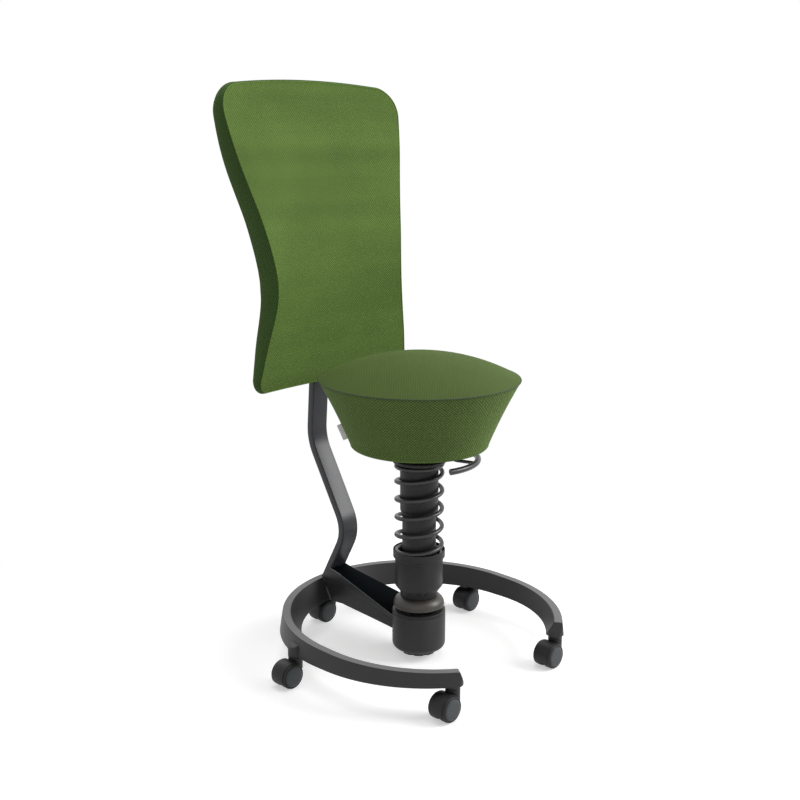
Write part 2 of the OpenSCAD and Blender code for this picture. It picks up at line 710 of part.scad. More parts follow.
// Bare cloth tag sewn into the seat's side, standing out from it
label_turn = 134;
label_w = 12;
label_h = 33;
label_t = 0.8;
label_at = 0.18;
function side_point(t) = let (p0 = [seat_foot_r, seat_z + seat_edge * 0.75], p1 = [seat_r - piping_r * 0.9, rim_z - piping_r * 0.8])
  p0 + t * (p1 - p0) - [seat_draw * 4 * t * (1 - t), 0];
module seat_label() {
  step = side_point(label_at + 0.1) - side_point(label_at - 0.1);
  color("#e8e8e6") rotate([0, 0, label_turn]) translate([side_point(label_at)[0] - 1, 0, side_point(label_at)[1]])
    rotate([0, atan2(step[0], step[1]), 0]) translate([0, -label_t / 2, -label_h / 2]) cube([label_w, label_t, label_h]);
}

module lever_cap() {
  cylinder(r = lever_r + 0.4, h = 7, $fn = 64);
  translate([0, 0, 7 - tiny]) cylinder(r1 = lever_r + 0.4, r2 = lever_r - 1.6, h = 2, $fn = 64);
}

// Lever: curved handle, bend, rising arm, pivot eye and the tongue that presses the valve pin
module lift_lever() {
  yc = sqrt(pow(lever_reach - lever_bend, 2) - pow(lever_bend, 2));
  lap = atan(lever_bend / yc);
  rise = pivot_z - lever_z;
  run = yc - lever_pivot;
  color("#2c2c2e") rotate([0, 0, lever_turn]) difference() {
    union() {
      rotate([0, 0, -90 - lever_span]) translate([0, 0, lever_z])
        rotate_extrude(angle = lever_span - lap, $fn = 160) translate([lever_reach, 0]) circle(r = lever_r, $fn = 48);
      translate([-lever_bend, -yc, lever_z]) rotate([0, 0, -90 - lap])
        rotate_extrude(angle = 90 + lap, $fn = 96) translate([lever_bend, 0]) circle(r = lever_r, $fn = 48);
      rotate([0, 0, -90 - lap]) translate([lever_reach, 0, lever_z]) sphere(r = lever_r + 0.06, $fn = 48);
      translate([0, -yc, lever_z]) sphere(r = lever_r + 0.06, $fn = 48);
      rotate([0, 0, -90 - lever_span]) translate([lever_reach, 4, lever_z]) rotate([90, 0, 0]) lever_cap();
      translate([0, -yc, lever_z]) rotate([-atan2(run, rise), 0, 0])
        cylinder(r = lever_r - 0.3, h = norm([run, rise]) - 4.5, $fn = 64);
      translate([-6, -lever_pivot, pivot_z]) rotate([0, 90, 0]) cylinder(r = 7.4, h = 12, $fn = 48);
      translate([-5, -lever_pivot - 2, tongue_z]) cube([10, lever_pivot + 5, tongue_h]);
      translate([-5, -lever_pivot - 5, pivot_z]) cube([10, 9, tongue_z + tongue_h - pivot_z]);
    }
    translate([-10, -lever_pivot, pivot_z]) rotate([0, 90, 0]) cylinder(r = pivot_r + running, h = 20, $fn = 48);
  }
}

module lever_pin() {
  color("#b0b2b4") rotate([0, 0, lever_turn]) union() {
    translate([-bracket_half - 2, -lever_pivot, pivot_z]) rotate([0, 90, 0])
      cylinder(r = pivot_r, h = 2 * bracket_half + 4, $fn = 48);
  }
}

// Rounded rectangle, w along X and t along Y
module rounded(w, t, r) {
  x = w / 2 - r;
  y = t / 2 - r;
  polygon(concat(arc([x, y], r, 0, 90, 3), arc([-x, y], r, 90, 180, 3), arc([-x, -y], r, 180, 270, 3), arc([x, -y], r, 270, 360, 3)));
}

// Heading of a stem run in the YZ plane, in degrees from +Z towards +Y
function heading(i) = atan2(stem_path[i + 1][0] - stem_path[i][0], stem_path[i + 1][1] - stem_path[i][1]);
function bend(i) = i <= 0 || i >= len(stem_path) - 1 ? 0 : heading(i) - heading(i - 1);
function setback(i) = stem_path[i][2] * tan(abs(bend(i)) / 2);
function run_dir(i) = [sin(heading(i)), cos(heading(i))];
function corner(i) = [stem_path[i][0], stem_path[i][1]];

// A section w by t along the stem's path; thin collars of the same section, 0.03 mm larger, join the runs
stem_joint = 0.8;
stem_ease = 0.03;
module stem_sweep(w, t, r, over = 0) {
  n = len(stem_path) - 1;
  for (i = [0:n - 1]) {
    a = corner(i) + (setback(i) - (i == 0 ? over : 0)) * run_dir(i);
    b = corner(i + 1) - (setback(i + 1) - (i == n - 1 ? over : 0)) * run_dir(i);
    stem_at(a, heading(i)) linear_extrude(norm(b - a)) rounded(w, t, r);
    if (i > 0) stem_at(a, heading(i)) stem_collar(w, t, r);
    if (i < n - 1) stem_at(b, heading(i)) stem_collar(w, t, r);
  }
  for (i = [1:n - 1]) {
    s = sign(bend(i));
    h = heading(i - 1);
    centre = corner(i) - setback(i) * run_dir(i - 1) + s * stem_path[i][2] * [cos(h), -sin(h)];
    stem_at(centre, h) stem_turn(stem_path[i][2], abs(bend(i)), s) rounded(w, t, r);
  }
}

module stem_at(p, h) {
  translate([0, p[0], p[1]]) rotate([-h, 0, 0]) children();
}

module stem_collar(w, t, r) {
  translate([0, 0, -stem_joint / 2]) linear_extrude(stem_joint) rounded(w + 2 * stem_ease, t + 2 * stem_ease, r + stem_ease);
}

// One bend of the stem, of radius r, that leans towards +Y where s is 1 and towards -Y where it is -1
module stem_turn(r, angle, s) {
  rotate([90, 0, 90]) rotate([0, 0, s > 0 ? 180 - angle : 0])
    rotate_extrude(angle = angle, $fn = 180) translate([r, 0]) rotate([0, 0, 90]) children();
}

// The stem's foot is a narrower tenon that stands in the arm, up to a shoulder on its top
module tenon_cuts() {
  for (s = [0, 1]) mirror([s, 0, 0]) translate([tenon_w / 2, arm_y0, 0]) cube([stem_w, ring_r + 20, shoulder_z]);
}

module stem_bolts_at() {
  for (z = [corner(0)[1] + 6.5, corner(0)[1] + 19]) translate([0, stem_path[0][0] + (z - stem_path[0][1]) * tan(heading(0)), z])
    rotate([0, 90, 0]) children();
}

module backrest_stem() {
  color("#3a3b3e") difference() {
    stem_sweep(stem_w, stem_t, stem_edge);
    difference() {
      stem_sweep(stem_w - 2 * stem_wall, stem_t - 2 * stem_wall, stem_edge - stem_wall + 0.5, 1);
      translate([-stem_w, 0, 0]) cube([2 * stem_w, ring_r + 20, shoulder_z + 6]);
    }
    tenon_cuts();
    stem_bolts_at() cylinder(r = bolt_r, h = 100, center = true, $fn = 32);
  }
}

module stem_bolts() {
  color("#1f1f21") stem_bolts_at() cylinder(r = bolt_r, h = 2 * arm_half1, center = true, $fn = 32);
}

// The backrest's surfaces: u from -1 to 1 across, v from 0 to 1 up
function pad_half(z) = smooth(pad_width_at, z);
function pad_edge_z(u) = pad_top - pad_arch * u * u;
function pad_height(u, v) = pad_z + (pad_edge_z(u) - pad_z) * v;
function corner_cut(z, top) =
  let (s = max(0, min(1, (z - (top - pad_corner)) / pad_corner)), q = max(0, min(1, (pad_z + pad_foot_corner - z) / pad_foot_corner)))
  pad_corner * (1 - sqrt(1 - s * s)) + pad_foot_corner * (1 - sqrt(1 - q * q));
function pad_xz(u, v, inset) =
  let (z0 = pad_height(u, v), mid = (pad_z + pad_top) / 2, z = mid + (z0 - mid) * (1 - 2 * inset / (pad_top - pad_z)),
       half = pad_half(z0) - inset - corner_cut(z0, pad_edge_z(u)))
  [u * half, z];
function front_y(p) = smooth(pad_front_at, p[1]) + pad_hollow * (1 - pow(p[0] / pad_half(p[1]), 2));
function rear_y(p) = smooth(pad_rear_at, p[1]) + shell_hollow * (1 - pow(p[0] / pad_half(p[1]), 2));
function put(p, y) = [p[0], y, p[1]];
function even(i, n) = i / n;
function bunch(i, n) = 0.5 - 0.5 * cos(180 * i / n);

// Walk round the edge of an n by m grid, as indices
function edge_walk(n, m) = concat(
  [for (i = [0:n - 1]) [i, 0]], [for (j = [0:m - 1]) [n, j]],
  [for (i = [n:-1:1]) [i, m]], [for (j = [m:-1:1]) [0, j]]);

// A closed solid between a front grid and a rear grid, with a ring of points between their edges
module slab(n, m, front, ring, rear) {
  walk = edge_walk(n, m);
  count = (n + 1) * (m + 1);
  k = len(walk);
  function id(i, j) = j * (n + 1) + i;
  function edge(e) = id(walk[e % k][0], walk[e % k][1]);
  points = concat([for (j = [0:m]) for (i = [0:n]) front[j][i]], ring, [for (j = [0:m]) for (i = [0:n]) rear[j][i]]);
  faces = concat(
    [for (j = [0:m - 1]) for (i = [0:n - 1]) each [[id(i, j), id(i, j + 1), id(i + 1, j)], [id(i + 1, j), id(i, j + 1), id(i + 1, j + 1)]]],
    [for (j = [0:m - 1]) for (i = [0:n - 1]) let (o = count + k)
      each [[o + id(i, j), o + id(i + 1, j), o + id(i, j + 1)], [o + id(i + 1, j), o + id(i + 1, j + 1), o + id(i, j + 1)]]],
    [for (e = [0:k - 1]) let (a = edge(e), b = edge(e + 1), c = count + e, d = count + (e + 1) % k)
      each [[a, b, c], [b, d, c]]],
    [for (e = [0:k - 1]) let (o = count + k, a = o + edge(e), b = o + edge(e + 1), c = count + e, d = count + (e + 1) % k)
      each [[c, d, a], [d, b, a]]]);
  polyhedron(points = points, faces = faces);
}

module backrest_pad() {
  n = pad_cols;
  m = pad_rows;
  grid = [for (j = [0:m]) [for (i = [0:n]) pad_xz(2 * bunch(i, n) - 1, bunch(j, m), pad_side)]];
  front = [for (row = grid) [for (p = row) put(p, front_y(p))]];
  rear = [for (row = grid) [for (p = row) put(p, rear_y(p))]];
  ring = [for (w = edge_walk(n, m)) let (p = pad_xz(2 * bunch(w[0], n) - 1, bunch(w[1], m), 0), q = grid[w[1]][w[0]])
    put(p, (front_y(q) + rear_y(q)) / 2)];
  color("#5b7a3a") slab(n, m, front, ring, rear);
}

module backrest_shell() {
  n = shell_cols;
  m = shell_rows;
  grid = [for (j = [0:m]) [for (i = [0:n]) pad_xz(2 * bunch(i, n) - 1, bunch(j, m), shell_inset)]];
  front = [for (row = grid) [for (p = row) put(p, rear_y(p) - pad_seat)]];
  rear = [for (row = grid) [for (p = row) put(p, rear_y(p) + shell_t)]];
  ring = [for (w = edge_walk(n, m)) let (q = grid[w[1]][w[0]]) put(q, rear_y(q) + shell_t / 2)];
  color("#39393b") difference() {
    union() {
      slab(n, m, front, ring, rear);
      boss_block();
    }
    clamp_frame() clamp_places() translate([0, 0, stem_t / 2 - clamp_t]) cylinder(r = 2.6, h = clamp_t + 8, $fn = 32);
  }
}

// Moulded block on the shell that the stem lies against
function stem_face_y(z) = let (i = len(stem_path) - 2, h = heading(i))
  stem_path[i][0] + (z - stem_path[i][1]) * tan(h) - stem_t / 2 / cos(h);
module boss_block() {
  rotate([90, 0, 90]) translate([0, 0, -boss_half]) linear_extrude(2 * boss_half) polygon([
    [smooth(pad_rear_at, boss_z0) + shell_t / 2, boss_z0 - 8], [stem_face_y(boss_z0), boss_z0],
    [stem_face_y(boss_z1), boss_z1], [smooth(pad_rear_at, boss_z1) + shell_t / 2, boss_z1 + 8]
  ]);
}

// Saddle that clamps the stem's top to the shell's block
module clamp_frame() {
  i = len(stem_path) - 2;
  h = heading(i);
  z = clamp_z + clamp_h / 2;
  translate([0, stem_face_y(z) + stem_t / 2 / cos(h), z]) rotate([-h, 0, 0]) children();
}

module clamp_places() {
  for (sx = [-1, 1]) for (z = [-clamp_h / 2 + 18, clamp_h / 2 - 18])
    translate([sx * (stem_w / 2 + clamp_t + clamp_ear / 2), 0, z]) rotate([90, 0, 0]) children();
}

module stem_clamp() {
  color("#2c2c2e") clamp_frame() difference() {
    union() {
      translate([-stem_w / 2 - clamp_t, -stem_t / 2, -clamp_h / 2]) cube([stem_w + 2 * clamp_t, stem_t + clamp_t, clamp_h]);
      translate([-stem_w / 2 - clamp_t - clamp_ear, -stem_t / 2, -clamp_h / 2])
        cube([stem_w + 2 * clamp_t + 2 * clamp_ear, clamp_t, clamp_h]);
    }
    translate([0, 0, -clamp_h / 2 - 1]) linear_extrude(clamp_h + 2) union() {
      rounded(stem_w, stem_t, stem_edge);
      translate([0, -stem_t / 4 - 1]) square([stem_w, stem_t / 2 + 2], center = true);
    }
    clamp_places() translate([0, 0, -30]) cylinder(r = 2.6, h = 60, $fn = 32);
  }
}

module clamp_screws() {
  color("#1d1d1f") clamp_frame() clamp_places() union() {
    translate([0, 0, stem_t / 2 - clamp_t - 3.2]) cylinder(r = 4.8, h = 3.2, $fn = 32);
    translate([0, 0, stem_t / 2 - clamp_t]) cylinder(r = 2.6, h = clamp_t + 8, $fn = 32);
  }
}

// Castor pieces, drawn with the swivel axis on Z and the wheels trailing towards -X
module castor_frame(i) {
  translate([castor_at[i][0], castor_at[i][1], 0]) children();
}

module castor_stem(i) {
  color("#a9abad") castor_frame(i) difference() {
    translate([0, 0, castor_stem_foot]) cylinder(r = castor_stem_r, h = castor_stem_top - castor_stem_foot, $fn = 48);
    translate([0, 0, castor_stem_foot + 3]) difference() {
      cylinder(r = castor_stem_r + 1, h = 1.6, $fn = 48);
      translate([0, 0, -1]) cylinder(r = castor_stem_r - 0.8, h = 4, $fn = 48);
    }
  }
}

module castor_housing(i) {
  hood_from = 62;
  hood_to = 222;
  color("#262628") castor_frame(i) difference() {
    union() {
      translate([0, 0, 31]) cylinder(r = neck_r, h = ring_z - 0.5 - 31, $fn = 64);
      translate([-castor_trail, 0, wheel_r]) rotate([90, 0, 0]) intersection() {
        translate([0, 0, -castor_hood_half]) cylinder(r = castor_hood_r, h = 2 * castor_hood_half, $fn = 96);
        translate([0, 0, -castor_hood_half - 1]) linear_extrude(2 * castor_hood_half + 2)
          polygon(concat([[0, 0]], [for (a = [hood_from - 30:(hood_to - hood_from + 30) / 12:hood_to + 0.1])
            50 * [cos(a), sin(a)]]));
      }
      translate([-castor_trail, 0, wheel_r]) rotate([90, 0, 0]) translate([0, 0, -castor_web_half])
        cylinder(r = 11, h = 2 * castor_web_half, $fn = 64);
    }
    for (s = [0, 1]) translate([-castor_trail, 0, wheel_r]) mirror([0, s, 0]) rotate([90, 0, 0])
      translate([0, 0, castor_web_half]) cylinder(r = wheel_r + castor_hood_gap, h = 40, $fn = 96);
    translate([-castor_trail, 30, wheel_r]) rotate([90, 0, 0]) cylinder(r = axle_r, h = 60, $fn = 48);
    translate([0, 0, 30]) cylinder(r = castor_stem_r + running, h = 40, $fn = 48);
  }
}

module castor_axle(i) {
  color("#a9abad") castor_frame(i) translate([-castor_trail, castor_half - 3, wheel_r]) rotate([90, 0, 0])
    cylinder(r = axle_r, h = 2 * castor_half - 6, $fn = 48);
}

module castor_wheel(i, side) {
  inner = wheel_gap / 2;
  outer = wheel_gap / 2 + wheel_w;
  color("#303234") castor_frame(i) translate([-castor_trail, 0, wheel_r]) rotate([90, 0, side > 0 ? 180 : 0])
    rotate_extrude($fn = 96) polygon([
      [axle_r + running, inner], [wheel_r - 4, inner], [wheel_r - 1.2, inner + 0.8], [wheel_r, inner + 3],
      [wheel_r, outer - 4], [wheel_r - 1.2, outer - 1.8], [wheel_r - 3, outer - 0.9], [wheel_r - 3.6, outer - 1.6],
      [wheel_r - 8, outer - 0.4], [0, outer], [0, outer - 2.6], [axle_r + running, outer - 2.6]
    ]);
}

base_ring();
spoke_arm();
foot_cup();
joint_collar();
backrest_stem();
stem_bolts();
stem_clamp();
clamp_screws();
backrest_shell();
backrest_pad();
buffer_ring();
ball_foot();
joint_dome();
stiffness_knob();
spring_cup();
lower_tube();
guide_bush();
coil_spring();
upper_sleeve();
spring_plate();
standpipe();
slide_bush();
lift_bush();
gas_rod();
rod_bearing();
gas_cylinder();
valve_pin();
seat_bracket();
seat_board();
seat_screws();
seat_cushion();
seat_label();
lift_lever();
lever_pin();
castor_stem(0);  // castor_1_stem
castor_housing(0);  // castor_1_housing
castor_axle(0);  // castor_1_axle
castor_wheel(0, 1);  // castor_1_wheel_a
castor_wheel(0, -1);  // castor_1_wheel_b
castor_stem(1);  // castor_2_stem
castor_housing(1);  // castor_2_housing
castor_axle(1);  // castor_2_axle
castor_wheel(1, 1);  // castor_2_wheel_a
castor_wheel(1, -1);  // castor_2_wheel_b
castor_stem(2);  // castor_3_stem
castor_housing(2);  // castor_3_housing
castor_axle(2);  // castor_3_axle
castor_wheel(2, 1);  // castor_3_wheel_a
castor_wheel(2, -1);  // castor_3_wheel_b
castor_stem(3);  // castor_4_stem
castor_housing(3);  // castor_4_housing
castor_axle(3);  // castor_4_axle
castor_wheel(3, 1);  // castor_4_wheel_a
castor_wheel(3, -1);  // castor_4_wheel_b
castor_stem(4);  // castor_5_stem
castor_housing(4);  // castor_5_housing
castor_axle(4);  // castor_5_axle
castor_wheel(4, 1);  // castor_5_wheel_a
castor_wheel(4, -1);  // castor_5_wheel_b
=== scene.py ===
"""Looks of the balance stool with backrest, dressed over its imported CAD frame.

Every piece stands in the frame of the CAD model, in metres: the origin is on the
floor under the column, +Z is up, the floor ring opens towards -Y and the backrest
is at +Y.
"""

import json
import logging
import math
from collections.abc import Callable, Iterable, Sequence
from dataclasses import dataclass, field
from enum import Enum

import bmesh
import bpy
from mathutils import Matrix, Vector

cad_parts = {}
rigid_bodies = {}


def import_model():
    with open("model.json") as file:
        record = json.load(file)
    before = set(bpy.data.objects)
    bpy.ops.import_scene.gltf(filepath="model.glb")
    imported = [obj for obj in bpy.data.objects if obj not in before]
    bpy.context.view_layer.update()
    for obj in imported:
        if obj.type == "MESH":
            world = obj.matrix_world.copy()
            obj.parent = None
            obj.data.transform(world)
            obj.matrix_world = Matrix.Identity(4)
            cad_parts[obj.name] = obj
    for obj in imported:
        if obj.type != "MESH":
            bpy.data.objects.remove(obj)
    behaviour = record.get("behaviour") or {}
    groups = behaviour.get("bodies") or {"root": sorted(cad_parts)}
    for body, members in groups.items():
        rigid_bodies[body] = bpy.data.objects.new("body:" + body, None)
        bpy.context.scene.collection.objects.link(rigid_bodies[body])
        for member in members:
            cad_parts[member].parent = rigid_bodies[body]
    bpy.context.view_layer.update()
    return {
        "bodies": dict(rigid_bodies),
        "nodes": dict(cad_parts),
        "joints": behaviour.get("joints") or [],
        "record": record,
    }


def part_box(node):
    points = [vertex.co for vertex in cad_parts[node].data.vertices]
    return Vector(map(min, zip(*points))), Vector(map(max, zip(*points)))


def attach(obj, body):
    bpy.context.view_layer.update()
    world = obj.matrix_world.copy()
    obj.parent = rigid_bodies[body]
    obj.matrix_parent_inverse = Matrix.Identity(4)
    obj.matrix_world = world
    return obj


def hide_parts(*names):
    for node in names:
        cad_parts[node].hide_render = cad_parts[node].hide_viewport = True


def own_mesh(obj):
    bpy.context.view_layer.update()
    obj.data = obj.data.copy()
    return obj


log = logging.getLogger("balance_stool")

Point2 = tuple[float, float]
Point3 = tuple[float, float, float]
Colour = tuple[float, float, float]

MM = 0.001
ON_AXIS = 0.02  # Millimetres from its axis at which a turned profile ends
CAD_WELD = 0.08  # Millimetres within which points of a CAD mesh are joined
CAD_SLIVER = 0.01  # Millimetres under which an edge of a CAD mesh is dissolved
CAD_FLAT = 0.8  # Degrees under which two faces of a CAD mesh count as one
TURNED_WELD = 0.005  # Millimetres within which points of a turned mesh are joined
EASE_STEPS = 2  # Faces across a rounded edge


def srgb(red: int, green: int, blue: int) -> Colour:
    """Turn an 8-bit screen colour into the linear colour that a shader takes.

    Args:
        red: Red, 0 to 255.
        green: Green, 0 to 255.
        blue: Blue, 0 to 255.

    Returns:
        The linear red, green and blue, each 0 to 1.
    """

    def linear(value: int) -> float:
        """Turn one channel."""
        part = value / 255
        return part / 12.92 if part <= 0.04045 else ((part + 0.055) / 1.055) ** 2.4

    return linear(red), linear(green), linear(blue)


def smooth_curve(points: Sequence[Point2], at: float) -> float:
    """Read a smooth curve through (position, value) pairs, as the CAD source does.

    Args:
        points: The pairs, in rising order of position.
        at: The position to read.

    Returns:
        The curve's value there.
    """

    def slope(i: int) -> float:
        """Return the curve's slope at pair i."""
        a, b = max(i - 1, 0), min(i + 1, len(points) - 1)
        return (points[b][1] - points[a][1]) / (points[b][0] - points[a][0])

    i = 0
    while i < len(points) - 2 and at >= points[i + 1][0]:
        i += 1
    run = points[i + 1][0] - points[i][0]
    t = (at - points[i][0]) / run
    return (
        (2 * t**3 - 3 * t**2 + 1) * points[i][1]
        + (t**3 - 2 * t**2 + t) * slope(i) * run
        + (3 * t**2 - 2 * t**3) * points[i + 1][1]
        + (t**3 - t**2) * slope(i + 1) * run
    )


class Graph:
    """The node tree of one material, with short ways to add and join its nodes."""

    def __init__(self, name: str, colour: Colour, roughness: float, metallic: float = 0.0) -> None:
        """Start a material with one Principled shader.

        Args:
            name: The material's name.
            colour: Its plain colour, linear.
            roughness: Its plain roughness.
            metallic: 1 for bare metal, otherwise 0.
        """
        self.material = bpy.data.materials.new(name)
        self.material.use_nodes = True
        self.tree = self.material.node_tree
        self.tree.nodes.clear()
        self.shader = self.node("ShaderNodeBsdfPrincipled")
        self.output = self.node("ShaderNodeOutputMaterial")
        self.join(self.shader.outputs["BSDF"], self.output.inputs["Surface"])
        self.set("Base Color", (*colour, 1.0))
        self.set("Roughness", roughness)
        self.set("Metallic", metallic)

    def node(self, kind: str, **settings: object) -> bpy.types.Node:
        """Add a node.

        Args:
            kind: Its type, as Blender names it.
            **settings: Its properties.

        Returns:
            The node.
        """
        made = self.tree.nodes.new(kind)
        for name, value in settings.items():
            setattr(made, name, value)
        return made

    def join(self, source: bpy.types.NodeSocket, target: bpy.types.NodeSocket) -> None:
        """Link two sockets."""
        self.tree.links.new(source, target)

    def set(self, socket: str, value: object) -> None:
        """Give one of the shader's own sockets a constant."""
        self.shader.inputs[socket].default_value = value

    def fill(self, target: bpy.types.NodeSocket, value: object) -> None:
        """Link a socket into target, or set target to a number or vector.

        Args:
            target: The socket that is fed.
            value: What feeds it.
        """
        if isinstance(value, bpy.types.NodeSocket):
            self.join(value, target)
        else:
            target.default_value = value

    def math(self, operation: str, *values: object) -> bpy.types.NodeSocket:
        """Add a Math node.

        Args:
            operation: What it does, as Blender names it.
            *values: The sockets or numbers that it takes.

        Returns:
            Its result.
        """
        made = self.node("ShaderNodeMath", operation=operation)
        for i, value in enumerate(values):
            self.fill(made.inputs[i], value)
        return made.outputs[0]

    def place(self, source: str, scale: Point3 = (1, 1, 1)) -> bpy.types.NodeSocket:
        """Add texture coordinates.

        Args:
            source: Their kind, Object or UV.
            scale: The factor on each, from metres.

        Returns:
            The scaled coordinates.
        """
        coordinates = self.node("ShaderNodeTexCoord")
        mapping = self.node("ShaderNodeMapping")
        self.join(coordinates.outputs[source], mapping.inputs["Vector"])
        mapping.inputs["Scale"].default_value = scale
        return mapping.outputs["Vector"]

    def noise(self, place: bpy.types.NodeSocket, scale: float, detail: float = 2.0) -> bpy.types.NodeSocket:
        """Add a noise, about 0.5 in the middle.

        Args:
            place: The coordinates that it is read at.
            scale: How fine it is.
            detail: How many finer layers it has.

        Returns:
            Its value.
        """
        made = self.node("ShaderNodeTexNoise")
        self.join(place, made.inputs["Vector"])
        made.inputs["Scale"].default_value = scale
        made.inputs["Detail"].default_value = detail
        return made.outputs["Fac"]

    def spread(self, value: bpy.types.NodeSocket, low: float, high: float, from_low: float = 0.0,
               from_high: float = 1.0) -> bpy.types.NodeSocket:
        """Map a value's range to another, held at both ends.

        Args:
            value: The value.
            low: What from_low becomes.
            high: What from_high becomes.
            from_low: The foot of the value's range.
            from_high: The top of the value's range.

        Returns:
            The mapped value.
        """
        made = self.node("ShaderNodeMapRange", clamp=True)
        self.join(value, made.inputs["Value"])
        made.inputs["From Min"].default_value = from_low
        made.inputs["From Max"].default_value = from_high
        made.inputs["To Min"].default_value = low
        made.inputs["To Max"].default_value = high
        return made.outputs["Result"]

    def blend(self, factor: object, low: object, high: object) -> bpy.types.NodeSocket:
        """Mix two colours.

        Args:
            factor: The share of high, a socket or a number.
            low: The colour where factor is 0.
            high: The colour where factor is 1.

        Returns:
            The mixed colour.
        """
        made = self.node("ShaderNodeMix", data_type="RGBA")
        self.fill(made.inputs["Factor"], factor)
        for name, value in (("A", low), ("B", high)):
            target = next(s for s in made.inputs if s.name == name and s.type == "RGBA")
            self.fill(target, (*value, 1.0) if isinstance(value, tuple) else value)
        return next(s for s in made.outputs if s.type == "RGBA")

    def colour(self, value: bpy.types.NodeSocket) -> None:
        """Link the shader's colour."""
        self.join(value, self.shader.inputs["Base Color"])

    def roughness(self, value: bpy.types.NodeSocket) -> None:
        """Link the shader's roughness."""
        self.join(value, self.shader.inputs["Roughness"])

    def relief(self, height: bpy.types.NodeSocket, depth: float, strength: float = 1.0) -> None:
        """Give the surface a relief, over any relief that it already has.

        Args:
            height: The relief's height, 0 to 1.
            depth: Its depth, in metres.
            strength: How strongly it shows.
        """
        bump = self.node("ShaderNodeBump")
        bump.inputs["Strength"].default_value = strength
        bump.inputs["Distance"].default_value = depth
        self.join(height, bump.inputs["Height"])
        normal = self.shader.inputs["Normal"]
        if normal.links:
            self.join(normal.links[0].from_socket, bump.inputs["Normal"])
        self.join(bump.outputs["Normal"], normal)


@dataclass(frozen=True)
class PowderCoat:
    """Baked powder paint: fine orange peel, a little unevenness, rubbed brighter along edges."""

    name: str
    colour: Colour
    roughness: float = 0.42
    peel: float = 0.00005
    rubbed: float = 0.25
    gloss: float = 0.3

    def material(self) -> bpy.types.Material:
        """Build the material.

        Returns:
            The material.
        """
        g = Graph(self.name, self.colour, self.roughness)
        g.set("Specular IOR Level", self.gloss)
        here = g.place("Object")
        peel = g.noise(here, 900.0, 2.0)
        cloud = g.noise(here, 14.0, 3.0)
        edge = g.node("ShaderNodeNewGeometry").outputs["Pointiness"]
        rub = g.math("MULTIPLY", g.spread(edge, 0.0, self.rubbed, 0.52, 0.60), g.noise(here, 60.0, 3.0))
        light = tuple(min(1.0, c * 1.8 + 0.02) for c in self.colour)
        shade = g.blend(cloud, tuple(c * 0.88 for c in self.colour), tuple(c * 1.12 for c in self.colour))
        g.colour(g.blend(rub, shade, light))
        g.roughness(g.spread(cloud, self.roughness - 0.05, self.roughness + 0.06))
        g.relief(peel, self.peel, 0.5)
        return g.material


@dataclass(frozen=True)
class MouldedPlastic:
    """Moulded plastic or rubber with a fine eroded grain."""

    name: str
    colour: Colour
    roughness: float = 0.5
    grain: float = 0.00008
    grain_scale: float = 1400.0
    gloss: float = 0.3

    def material(self) -> bpy.types.Material:
        """Build the material.

        Returns:
            The material.
        """
        g = Graph(self.name, self.colour, self.roughness)
        g.set("Specular IOR Level", self.gloss)
        here = g.place("Object")
        cloud = g.noise(here, 25.0, 3.0)
        g.colour(g.blend(cloud, tuple(c * 0.85 for c in self.colour), tuple(c * 1.15 for c in self.colour)))
        g.roughness(g.spread(g.noise(here, 120.0, 3.0), self.roughness - 0.06, self.roughness + 0.06))
        g.relief(g.noise(here, self.grain_scale, 2.0), self.grain, 0.6)
        return g.material


@dataclass(frozen=True)
class TurnedSteel:
    """Bare steel with fine turning rings about the vertical."""

    name: str
    colour: Colour
    roughness: float = 0.28

    def material(self) -> bpy.types.Material:
        """Build the material.

        Returns:
            The material.
        """
        g = Graph(self.name, self.colour, self.roughness, metallic=1.0)
        rings = g.noise(g.place("Object", (8.0, 8.0, 3000.0)), 1.0, 2.0)
        g.roughness(g.spread(rings, self.roughness - 0.08, self.roughness + 0.1))
        g.relief(rings, 0.00003, 0.4)
        return g.material


